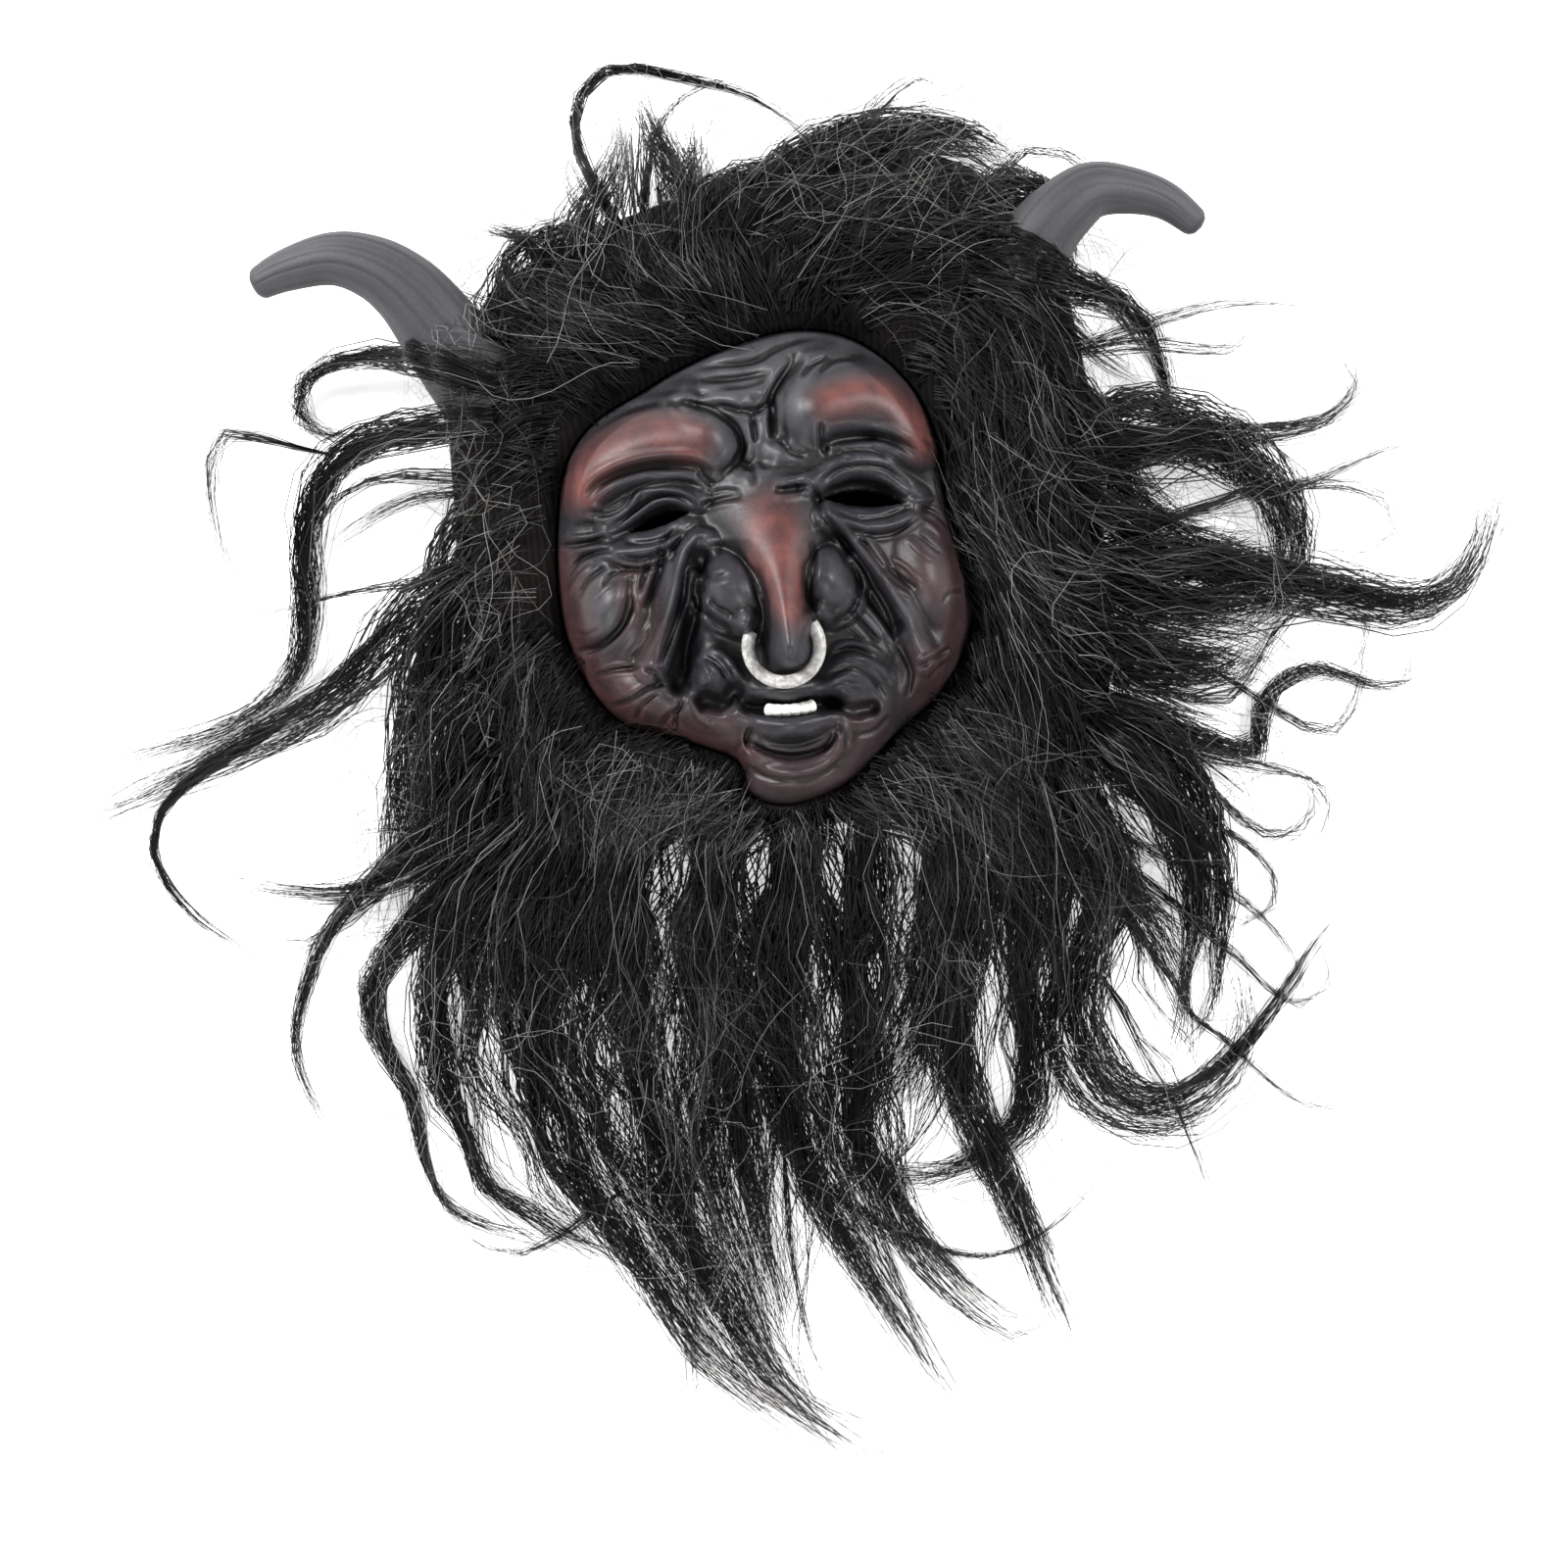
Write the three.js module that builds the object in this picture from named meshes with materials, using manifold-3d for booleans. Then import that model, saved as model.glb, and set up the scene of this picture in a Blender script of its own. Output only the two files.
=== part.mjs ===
// A costume mask of a horned bull-man, lying on its back as it does when nobody wears it.
// A hollow latex face with cut eye slots hangs a ring in its nose. It is glued into the front of a
// hood of long black synthetic fur, which carries two horns and spreads its locks over the ground.
// Millimetres. +Z points out of the face, +Y to the top of the head, and the origin is on the
// resting plane, behind the bridge of the nose.

import * as THREE from 'three';
import { mergeVertices } from 'three/addons/utils/BufferGeometryUtils.js';
import Module from 'manifold-3d';

const wasm = await Module();
wasm.setup();

const TAU = 2 * Math.PI;

// Driving dimensions
const gap = 0.3; // between pieces that touch
const weld = 0.001; // vertices closer than this are one

const latexWall = 2.5;
const faceCentre = new THREE.Vector2(-4, 8);
const rimHeight = 62; // the edge of the face over the ground
const rimRise = 6; // how much higher the edge lies 100 mm above and below the middle
const faceBulge = 32; // the plain of the face over its edge
const carvingFade = 1 / 9; // the share of the face's radius over which its carving dies away at the edge
const collarDrop = 12; // the turned-down edge that is glued into the hood
const noseHeight = 38; // the tip over the plain of the face
const noseLean = 9; // how far the tip hooks down over the lip

const eyeSlots = [
  { left: [-60, 26.5], right: [-32, 31.5], rise: 4, drop: 2 },
  { left: [24, 30], right: [60, 25], rise: 5.2, drop: 2.4 },
];
const toothRow = { count: 6, width: 21, height: 5.4, depth: 10, level: 87 };

const furThickness = 8; // the fabric back of the hood, pressed flat on the ground
const hoodCrest = 77; // the fur round the face, over the ground
const hoodCrease = 8; // how deep the fur of the hood parts into locks
const hoodParts = 18; // how many times it does so all round
const neck = { x: -4, z: 29, halfWidth: 62, halfHeight: 20, front: -125, length: 75 };

const ringRadius = 15; // to the middle of the wire
const ringWire = 5.6;
const ringStart = 148; // degrees from +X at its first end
const ringTurn = 244; // degrees from there to its other end
const ringHeight = 106;
const ringCentre = new THREE.Vector2(0.4, -30.6);

// How finely the forms are cut
const faceCells = 31;
const hollowCells = 15;
const hoodSegments = 54;
const hornFlutes = 7;

// Colours
const latexGrey = 0x47454a;
const hornGrey = 0x605f64;
const ringGrey = 0xb4b2b0;
const furBlack = 0x17171a;

// Solids

/** The closed body of a geometry: shared corners merged, and the folded faces at its poles left out. */
function solidOf(geometry) {
  const bare = geometry.clone();
  bare.deleteAttribute('normal');
  bare.deleteAttribute('uv');
  const merged = mergeVertices(bare, weld);
  const corners = merged.index.array;
  const kept = [];
  for (let i = 0; i < corners.length; i += 3) {
    const [a, b, c] = corners.slice(i, i + 3);
    if (a !== b && b !== c && c !== a) {
      kept.push(a, b, c);
    }
  }
  return new wasm.Manifold(
    new wasm.Mesh({
      numProp: 3,
      vertProperties: new Float32Array(merged.attributes.position.array),
      triVerts: new Uint32Array(kept),
    }),
  );
}

/** A named mesh of a solid, in a finish of its own. */
function piece(name, solid, color, roughness) {
  const { vertProperties, triVerts } = solid.getMesh();
  const geometry = new THREE.BufferGeometry();
  geometry.setAttribute('position', new THREE.BufferAttribute(vertProperties, 3));
  geometry.setIndex(new THREE.BufferAttribute(triVerts, 1));
  geometry.computeVertexNormals();
  const mesh = new THREE.Mesh(
    geometry,
    new THREE.MeshStandardMaterial({ color, roughness, metalness: 0 }),
  );
  mesh.name = name;
  return mesh;
}

/** Moves every vertex of a geometry to where place(x, y, z) says. */
function reshape(geometry, place) {
  const spots = geometry.attributes.position;
  for (let i = 0; i < spots.count; i += 1) {
    const to = place(spots.getX(i), spots.getY(i), spots.getZ(i));
    spots.setXYZ(i, to.x, to.y, to.z);
  }
  return geometry;
}

/** Bends a cylinder along a curve. size(along, angle) gives its half width and half thickness. */
function sweep(path, sides, steps, size) {
  const up = new THREE.Vector3(0, 0, 1);
  const body = new THREE.CylinderGeometry(1, 1, 1, sides, steps);
  return reshape(body, (x, y, z) => {
    const along = y + 0.5;
    const angle = Math.atan2(z, x);
    const tangent = path.getTangentAt(along);
    const side = new THREE.Vector3().crossVectors(tangent, up).normalize();
    const lift = new THREE.Vector3().crossVectors(side, tangent);
    const [halfWidth, halfThickness] = size(along, angle);
    return path
      .getPointAt(along)
      .addScaledVector(side, x * halfWidth)
      .addScaledVector(lift, z * halfThickness);
  });
}

// Outlines, as radii from the middle of the face

/** Radius of a closed smooth line through a few points, in the direction of an angle. */
function outline(points) {
  const line = new THREE.CatmullRomCurve3(
    points.map(([x, y]) => new THREE.Vector3(x - faceCentre.x, y - faceCentre.y, 0)),
    true,
  );
  const spots = line.getSpacedPoints(720).map((p) => ({
    angle: (Math.atan2(p.y, p.x) + TAU) % TAU,
    radius: Math.hypot(p.x, p.y),
  }));
  spots.sort((a, b) => a.angle - b.angle);
  return (angle) => {
    const turn = (angle + TAU) % TAU;
    const next = spots.findIndex((spot) => spot.angle > turn);
    return spots[next < 0 ? 0 : next].radius;
  };
}

// Clockwise from the middle of the forehead. The jaw steps in to the chin on the left.
const faceRadius = outline([
  [-4, 102], [22, 105], [46, 98], [66, 79], [76, 54], [79, 20], [85, -16], [77, -41], [64, -58],
  [46, -71], [22, -90], [-4, -97], [-21, -91], [-25, -76], [-46, -65], [-70, -55], [-84, -38],
  [-92, -15], [-93, 10], [-90, 36], [-83, 60], [-69, 76], [-46, 87], [-28, 95],
]);

// The dome of the face, without the step in the jaw
const domeRadius = outline([
  [-4, 102], [46, 97], [76, 60], [83, 0], [76, -40], [50, -72], [4, -94], [-42, -78], [-80, -44],
  [-93, 10], [-82, 62], [-46, 88],
]);

// The hood is deepest over the crown and ends just below the chin.
const hoodRadius = outline([
  [0, 186], [50, 193], [95, 187], [126, 168], [145, 135], [152, 90], [154, 40], [151, -10],
  [148, -55], [133, -92], [95, -110], [45, -115], [-5, -117], [-55, -113], [-98, -106],
  [-128, -85], [-141, -45], [-142, 5], [-140, 55], [-136, 100], [-118, 142], [-82, 165], [-40, 177],
]);

// The face

/** A soft round swelling, or a hollow where its height is negative. A low power makes it a ball. */
function mound(x, y, { centre: [cx, cy], reach: [rx, ry], tilt, height, power = 2 }) {
  const turn = THREE.MathUtils.degToRad(tilt);
  const along = (x - cx) * Math.cos(turn) + (y - cy) * Math.sin(turn);
  const across = (y - cy) * Math.cos(turn) - (x - cx) * Math.sin(turn);
  const away = (along / rx) ** 2 + (across / ry) ** 2;
  return away < 1 ? height * (1 - away) ** power : 0;
}

/** A rolled ridge along a bent line, or a crease where its height is negative. */
function stroke(x, y, { line, halfWidth, height }) {
  let nearest = Infinity;
  for (let i = 1; i < line.length; i += 1) {
    const [ax, ay] = line[i - 1];
    const [bx, by] = line[i];
    const length = (bx - ax) ** 2 + (by - ay) ** 2;
    const along = THREE.MathUtils.clamp(((x - ax) * (bx - ax) + (y - ay) * (by - ay)) / length, 0, 1);
    nearest = Math.min(nearest, Math.hypot(x - ax - along * (bx - ax), y - ay - along * (by - ay)));
  }
  const power = height < 0 ? 2 : 1.4;
  return nearest < halfWidth ? height * (1 - (nearest / halfWidth) ** 2) ** power : 0;
}

/** A value read off between stops, each of them a place and the value there. */
function between(stops, at) {
  const next = stops.findIndex(([place]) => place > at);
  if (next <= 0) {
    return stops[next < 0 ? stops.length - 1 : 0][1];
  }
  const [[low, first], [high, last]] = stops.slice(next - 1, next + 1);
  return THREE.MathUtils.mapLinear(at, low, high, first, last);
}

// The nose, from its lip to its root between the eyes
const nose = { lip: -42, tip: -22, root: 46, middle: 3 };
const noseHalfWidths = [
  [nose.lip, 13], [nose.tip, 12], [-8, 13], [4, 18], [18, 28], [32, 29], [nose.root, 18],
];

/** The hooked nose over the plain of the face, from the brow down to the lip. */
function noseBump(x, y) {
  const across = Math.abs(x - nose.middle) / between(noseHalfWidths, y);
  if (y > nose.root || y < nose.lip || across > 1) {
    return 0;
  }
  const fall = (nose.root - y) / (nose.root - nose.tip);
  const under = (nose.tip - y) / (nose.tip - nose.lip);
  const rise = y > nose.tip ? fall * (1.2 - 0.2 * fall) : 1 - under ** 2.2;
  return noseHeight * rise * (1 - across ** 2) ** 1.4;
}

const nostrilWings = [
  { centre: [-16, -5], reach: [22, 17], tilt: -52, height: 21, power: 1.2 },
  { centre: [21, -5], reach: [19, 14], tilt: -72, height: 20, power: 1.2 },
];
const swellings = [
  // Eye sockets
  { centre: [-50, 33], reach: [34, 16], tilt: 8, height: -11 },
  { centre: [46, 31], reach: [34, 16], tilt: -8, height: -11 },
  // Where the ring's ends are let in
  { centre: [-14, -20], reach: [9, 8], tilt: 0, height: 11 },
  { centre: [15, -20], reach: [9, 8], tilt: 0, height: 11 },
  // Cheekbones and jowls
  { centre: [-72, -5], reach: [23, 28], tilt: 0, height: 13 },
  { centre: [67, -8], reach: [18, 32], tilt: 8, height: 11 },
  { centre: [-66, -42], reach: [25, 16], tilt: -32, height: 8 },
  { centre: [62, -44], reach: [20, 14], tilt: 35, height: 7 },
  // Muzzle on both sides of the ring, lips and chin
  { centre: [-29, -38], reach: [15, 14], tilt: 0, height: 8 },
  { centre: [28, -43], reach: [19, 13], tilt: 8, height: 10 },
  { centre: [0, -48], reach: [17, 7], tilt: 0, height: 5 },
  { centre: [0, -64], reach: [19, 9], tilt: 0, height: 7 },
  { centre: [-1, -88], reach: [23, 12], tilt: 0, height: 10 },
];
const ridges = [
  // Brow pads
  { line: [[-76, 52], [-60, 61], [-42, 65], [-24, 62]], halfWidth: 20, height: 12 },
  { line: [[28, 69], [44, 72], [58, 68], [67, 56]], halfWidth: 19, height: 12 },
  // Upper eyelids, and the bags under the eyes
  { line: [[-68, 30], [-56, 36], [-42, 40], [-29, 36]], halfWidth: 7, height: 6 },
  { line: [[21, 37], [38, 42], [52, 38], [65, 27]], halfWidth: 7, height: 6 },
  { line: [[-68, 19], [-48, 20], [-34, 25]], halfWidth: 8, height: 4 },
  { line: [[26, 22], [42, 17], [60, 19]], halfWidth: 8, height: 4 },
  // Folds beside the nose, rims of the nostrils and fold of the chin
  { line: [[-28, 17], [-36, 11], [-42, 0], [-49, -16], [-57, -32]], halfWidth: 8, height: 7 },
  { line: [[27, 23], [36, 10], [45, -8], [53, -24], [59, -42]], halfWidth: 8, height: 7 },
  { line: [[-34, 4], [-34, -6], [-29, -14], [-21, -20], [-14, -23]], halfWidth: 4.5, height: 6 },
  { line: [[34, 2], [36, -8], [31, -19], [22, -23]], halfWidth: 4.5, height: 4 },
  { line: [[-21, -73], [-10, -81], [3, -83], [16, -79], [22, -69]], halfWidth: 5, height: 4 },
];
const creases = [
  // Forehead, and the frown between the brows
  { line: [[-32, 93], [-5, 91], [14, 97], [36, 101]], halfWidth: 8, height: -2.4 },
  { line: [[-22, 85], [4, 85]], halfWidth: 7, height: -2 },
  { line: [[1, 50], [1, 72]], halfWidth: 7, height: -3.5 },
  { line: [[9, 58], [10, 76], [20, 90]], halfWidth: 6, height: -3 },
  { line: [[-7, 50], [-9, 66], [-22, 77]], halfWidth: 7, height: -4.5 },
  // Under the left cheekbone, and beside the nose
  { line: [[-92, -20], [-74, -19], [-63, -8]], halfWidth: 7, height: -3 },
  { line: [[-31, 10], [-36, -4], [-39, -20], [-44, -40]], halfWidth: 8, height: -7 },
  { line: [[34, 12], [39, -8], [48, -26]], halfWidth: 8, height: -5 },
  // The mouth and its corners
  { line: [[-17, -53], [-8, -55], [0, -57], [9, -56], [18, -56]], halfWidth: 5.5, height: -8 },
  { line: [[-35, -48], [-28, -50], [-23, -47]], halfWidth: 7, height: -8 },
  { line: [[18, -57], [26, -60], [34, -60]], halfWidth: 5, height: -5 },
];

/** The carving of the face: everything that stands over or sinks under its plain. */
function carving(x, y) {
  const nostrils = nostrilWings.map((wing) => mound(x, y, wing));
  return [
    Math.max(noseBump(x, y), ...nostrils),
    ...swellings.map((swelling) => mound(x, y, swelling)),
    ...ridges.map((ridge) => stroke(x, y, ridge)),
    ...creases.map((crease) => stroke(x, y, crease)),
  ].reduce((sum, part) => sum + part, 0);
}

/** Height of the face's skin at a place that is reach, from 0 to 1, of the way out to its edge. */
function skin(x, y, reach) {
  const edge = rimHeight + rimRise * ((y - faceCentre.y) / 100) ** 2;
  const plain = faceBulge * (1 - reach ** 2.6) ** 0.6;
  const fade = Math.min(1, (1 - reach) / carvingFade);
  return edge + plain + fade * carving(x, y);
}

/** The lowest skin within a few millimetres of a place, so that the hollow keeps clear of the creases. */
function lowestSkin(x, y, reach) {
  const near = 5;
  let lowest = skin(x, y, reach);
  for (let turn = 0; turn < TAU; turn += TAU / 8) {
    lowest = Math.min(lowest, skin(x + near * Math.cos(turn), y + near * Math.sin(turn), reach));
  }
  return lowest;
}

/** A disc-shaped block under the face's outline: heightAt gives its upper face, foot its lower. */
function faceBlock(cells, inset, foot, heightAt) {
  const block = new THREE.BoxGeometry(2, 2, 1, cells, cells, 1);
  return solidOf(
    reshape(block, (a, b, side) => {
      const u = a * Math.sqrt(1 - (b * b) / 2);
      const v = b * Math.sqrt(1 - (a * a) / 2);
      const reach = Math.min(1, Math.hypot(u, v));
      const angle = Math.atan2(v, u);
      const round = THREE.MathUtils.lerp(domeRadius(angle), faceRadius(angle), reach ** 4);
      const radius = reach * (round - inset);
      const x = faceCentre.x + radius * Math.cos(angle);
      const y = faceCentre.y + radius * Math.sin(angle);
      const lean = noseLean * (noseBump(x, y) / noseHeight) ** 1.5;
      return side > 0
        ? new THREE.Vector3(x, y - lean, heightAt(x, y, reach))
        : new THREE.Vector3(x, y, foot);
    }),
  );
}

/** A see-through slot: two arcs that meet in its corners. */
function eyeSlot({ left, right, rise, drop }) {
  const middle = [(left[0] + right[0]) / 2, (left[1] + right[1]) / 2];
  const lens = new THREE.Shape();
  lens.moveTo(...left);
  lens.quadraticCurveTo(middle[0], middle[1] - drop * 2, ...right);
  lens.quadraticCurveTo(middle[0], middle[1] + rise * 2, ...left);
  const [below, depth] = [50, 80];
  const slot = new THREE.ExtrudeGeometry(lens, { depth, bevelEnabled: false, curveSegments: 4 });
  return solidOf(slot.translate(0, 0, below));
}

/** One row of small blunt teeth along the mouth, each a bulge of one curved bar. */
function teeth() {
  const { count, width, height, depth, level } = toothRow;
  const arc = new THREE.QuadraticBezierCurve3(
    new THREE.Vector3(-width / 2, -55.6, level),
    new THREE.Vector3(0, -58.8, level + 1),
    new THREE.Vector3(width / 2, -56.4, level),
  );
  return solidOf(
    sweep(arc, 6, 2 * count, (along) => {
      const bulge = 0.78 + 0.22 * Math.abs(Math.sin(Math.PI * count * along));
      return [(height / 2) * bulge, (depth / 2) * bulge];
    }),
  );
}

/** The nose ring, open behind the nostrils, thicker by grow all round. */
function ring(grow) {
  const count = 12;
  const stops = [];
  for (let i = 0; i <= count; i += 1) {
    const angle = THREE.MathUtils.degToRad(ringStart + (ringTurn * i) / count);
    stops.push(
      new THREE.Vector3(
        ringCentre.x + ringRadius * Math.cos(angle),
        ringCentre.y + ringRadius * Math.sin(angle),
        ringHeight,
      ),
    );
  }
  const wire = ringWire / 2 + grow;
  return solidOf(sweep(new THREE.CatmullRomCurve3(stops), 7, count + 1, () => [wire, wire]));
}

/** The face: skin and hollow, with the eye slots cut through and the ring's ends let in. */
function face() {
  const collarEdge = rimHeight - collarDrop;
  const outside = faceBlock(faceCells, 0, collarEdge, skin);
  const hollow = faceBlock(hollowCells, latexWall, collarEdge - 1, (x, y, reach) =>
    lowestSkin(x, y, reach) - latexWall,
  );
  return outside
    .add(teeth())
    .subtract(hollow)
    .subtract(wasm.Manifold.union(eyeSlots.map(eyeSlot)))
    .subtract(ring(gap));
}

// Horns

// Their middle lines from the root inside the fur to the tip, as the mask lies.
const hornLines = {
  horn_left: [[-112, 92, 42], [-124, 113, 47], [-133, 130, 51], [-143, 145, 54], [-156, 156, 56],
    [-173, 162, 56], [-194, 160, 53], [-210, 155, 50]],
  horn_right: [[112, 104, 42], [122, 121, 46], [132, 134, 49], [143, 144, 51], [157, 152, 51],
    [173, 151, 48], [190, 145, 43], [205, 132, 38]],
};
const hornGirth = { horn_left: 42, horn_right: 38 };

/** A horn that tapers to a blunt tip, with grooves running along it. */
function horn(name, grow) {
  const line = new THREE.CatmullRomCurve3(hornLines[name].map((p) => new THREE.Vector3(...p)));
  const body = sweep(line, 2 * hornFlutes, 10, (along, angle) => {
    const taper = (1 - 0.68 * along ** 1.25) * Math.sqrt(Math.min(1, (1.002 - along) * 14));
    const flute = 0.97 + 0.03 * Math.cos(hornFlutes * angle);
    const radius = (hornGirth[name] / 2) * taper * flute + grow;
    return [radius, radius];
  });
  return solidOf(body);
}

// Fur

/** A body round the middle of the face. Each profile row is how far out to the face's edge, how far
 *  on from there to the hood's, and the height. Creases of some depth part its fur into locks. */
function hoodBody(profile, segments, creaseDepth = 0) {
  const lowest = 0.2; // over the ground where a crease runs down to it
  const lathe = new THREE.LatheGeometry(
    profile.map((row, i) => new THREE.Vector2(row[0] + row[1], i)),
    segments,
  );
  return solidOf(
    reshape(lathe, (x, row, z) => {
      const [toFace, toHood, height] = profile[Math.round(row)];
      const angle = -Math.atan2(z, x);
      const inner = faceRadius(angle);
      const combed = angle + 0.3 * toHood * Math.cos(angle);
      const parting = 1 - Math.abs(Math.sin((hoodParts / 2) * combed));
      const crease = creaseDepth * Math.min(1, 2 * toHood) * parting;
      const radius = toFace * inner + toHood * (hoodRadius(angle) - inner - crease);
      return new THREE.Vector3(
        faceCentre.x + radius * Math.cos(angle),
        faceCentre.y + radius * Math.sin(angle),
        Math.max(Math.min(height, lowest), height - crease),
      );
    }),
  );
}

/** A flattened lock of fur. It leaves the hood at rootHeight and soon comes to lie on the ground. */
function lock({ width, rootHeight = 32, route }) {
  const flat = 0.5;
  const [hold, fall] = [22, 95];
  const clearance = 0.2;
  const plan = new THREE.CatmullRomCurve3(route.map(([x, y]) => new THREE.Vector3(x, y, 0)));
  const length = plan.getLength();
  const steps = Math.round(length / THREE.MathUtils.clamp(1.6 * width, 16, 42));
  const fullness = (along) => Math.min(1, 0.6 + 2 * along) * (1 - along ** 3) + 0.08;
  const stops = plan.getSpacedPoints(steps).map((stop, i) => {
    const fallen = THREE.MathUtils.smoothstep((length * i) / steps, hold, hold + fall);
    stop.z = (flat * width * fullness(i / steps)) / 2 + rootHeight * (1 - fallen);
    return stop;
  });
  const sides = width > 20 ? 6 : 5;
  const body = sweep(new THREE.CatmullRomCurve3(stops), sides, steps, (along) => {
    const half = (width * fullness(along)) / 2;
    return [half, flat * half];
  });
  return solidOf(reshape(body, (x, y, z) => new THREE.Vector3(x, y, Math.max(z, clearance))));
}

// The locks that stand out, by the way they lie on the ground from their roots to their tips.
// Under the chin they leave the hood higher than at its sides.
const locks = [
  // Left of the face
  {
    width: 18,
    rootHeight: 6,
    route: [
      [-108, 98], [-160, 122], [-196, 118], [-202, 102], [-186, 91], [-160, 95],
    ],
  },
  {
    width: 26,
    route: [
      [-112, 82], [-172, 82], [-200, 58], [-207, 15], [-217, -15], [-250, -33], [-312, -43],
    ],
  },
  { width: 26, route: [[-112, 30], [-160, 8], [-200, -22], [-250, -42], [-330, -70]] },
  {
    width: 10,
    rootHeight: 2,
    route: [
      [-226, -34], [-272, -56], [-291, -80], [-280, -110], [-250, -138],
    ],
  },
  { width: 18, route: [[-115, -80], [-195, -112], [-265, -102]] },
  { width: 18, route: [[-115, -60], [-205, -115], [-235, -160], [-239, -190], [-225, -225]] },
  {
    width: 24,
    route: [
      [-115, -80], [-190, -140], [-203, -170], [-190, -205], [-186, -240], [-165, -268],
      [-120, -284],
    ],
  },
  { width: 40, route: [[-110, -80], [-160, -150], [-165, -210], [-140, -262], [-95, -298]] },
  // Below the chin
  {
    width: 42,
    rootHeight: 46,
    route: [
      [-96, -86], [-130, -160], [-125, -230], [-95, -290], [-65, -345], [-15, -392],
    ],
  },
  {
    width: 44,
    rootHeight: 52,
    route: [
      [-70, -92], [-92, -170], [-85, -240], [-60, -310], [-35, -360], [5, -398],
    ],
  },
  {
    width: 38,
    rootHeight: 52,
    route: [
      [-38, -96], [-50, -180], [-52, -250], [-42, -310], [-34, -345],
    ],
  },
  { width: 38, rootHeight: 52, route: [[-4, -98], [-14, -180], [-16, -250], [8, -315], [40, -380]] },
  {
    width: 34,
    rootHeight: 52,
    route: [
      [32, -96], [22, -180], [14, -250], [30, -305], [68, -347], [81, -338],
    ],
  },
  { width: 38, rootHeight: 52, route: [[64, -92], [58, -170], [58, -230], [76, -290], [88, -358]] },
  {
    width: 36,
    rootHeight: 46,
    route: [
      [90, -86], [94, -160], [86, -215], [80, -250], [40, -270], [0, -262],
    ],
  },
  // Right of the face
  {
    width: 36,
    rootHeight: 40,
    route: [
      [108, -80], [128, -150], [112, -205], [122, -240], [152, -252], [186, -226], [182, -185],
    ],
  },
  { width: 10, rootHeight: 2, route: [[176, -236], [205, -210], [222, -188], [240, -170]] },
  { width: 34, route: [[118, -66], [162, -110], [174, -150], [168, -200], [150, -240]] },
  {
    width: 15,
    route: [
      [120, -56], [185, -95], [208, -100], [211, -80], [235, -66], [262, -78], [281, -76],
      [280, -60], [262, -50],
    ],
  },
  { width: 36, route: [[122, -8], [200, -18], [245, -30], [285, -42], [312, -28], [330, 15]] },
  { width: 42, route: [[122, 40], [190, 40], [222, 20], [232, -10], [218, -36], [190, -50]] },
  { width: 14, route: [[122, 66], [200, 46], [250, 43], [272, 58], [266, 72], [248, 73]] },
  { width: 24, route: [[120, 120], [168, 102], [184, 70], [186, 36]] },
  // Over the crown
  {
    width: 10,
    route: [
      [-44, 150], [-64, 200], [-60, 228], [-42, 241], [-10, 231], [20, 218], [52, 186],
    ],
  },
  { width: 22, route: [[-10, 150], [-28, 200], [-36, 229]] },
  { width: 32, route: [[-10, 150], [30, 186], [70, 199], [110, 193], [134, 168]] },
  { width: 18, route: [[-76, 134], [-92, 162], [-112, 174]] },
];

/** The hood with its locks, open at the neck and round the face, with a socket for each horn. */
function hood() {
  const pelt = hoodBody(
    [[0, 0, 0], [1, 0.9, 0], [1, 1, 14], [1, 0.95, 36], [1, 0.76, 56], [1, 0.46, 69],
      [1, 0.18, hoodCrest - 1], [1, -0.04, hoodCrest - 3], [0, 0, hoodCrest - 3]],
    hoodSegments,
    hoodCrease,
  );
  const headSpace = hoodBody(
    [[0, 0, furThickness], [1, 0.42, furThickness], [1, 0.52, 22], [1, 0.48, 42], [1, 0.28, 56],
      [1, 0.02, 61], [0, 0, 61]],
    hoodSegments / 2,
  );
  const [holeFoot, holeTop] = [40, 2 * hoodCrest];
  const faceHole = faceBlock(faceCells, -gap, holeFoot, () => holeTop);
  const section = new THREE.Shape();
  section.absellipse(0, neck.z, neck.halfWidth, neck.halfHeight, 0, TAU);
  const neckHole = new THREE.ExtrudeGeometry(section, {
    depth: neck.length,
    bevelEnabled: false,
    curveSegments: 8,
  })
    .rotateX(Math.PI / 2)
    .translate(neck.x, neck.front + neck.length, 0);
  return wasm.Manifold.union([pelt, ...locks.map(lock)])
    .subtract(headSpace)
    .subtract(faceHole)
    .subtract(solidOf(neckHole))
    .subtract(horn('horn_left', gap))
    .subtract(horn('horn_right', gap));
}

// The mask

const mask = new THREE.Group();
mask.add(piece('face', face(), latexGrey, 0.5));
mask.add(piece('horn_left', horn('horn_left', 0), hornGrey, 0.7));
mask.add(piece('horn_right', horn('horn_right', 0), hornGrey, 0.7));
mask.add(piece('nose_ring', ring(0), ringGrey, 0.4));
mask.add(piece('fur_hood', hood(), furBlack, 0.9));

export default mask;
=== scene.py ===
"""A costume mask of a horned bull-man: a latex face, two horns, a nose ring and a hood of long black
synthetic fur, lying on its back on a lit white sheet. Sizes are in millimetres until a piece is finished."""

import math

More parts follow.
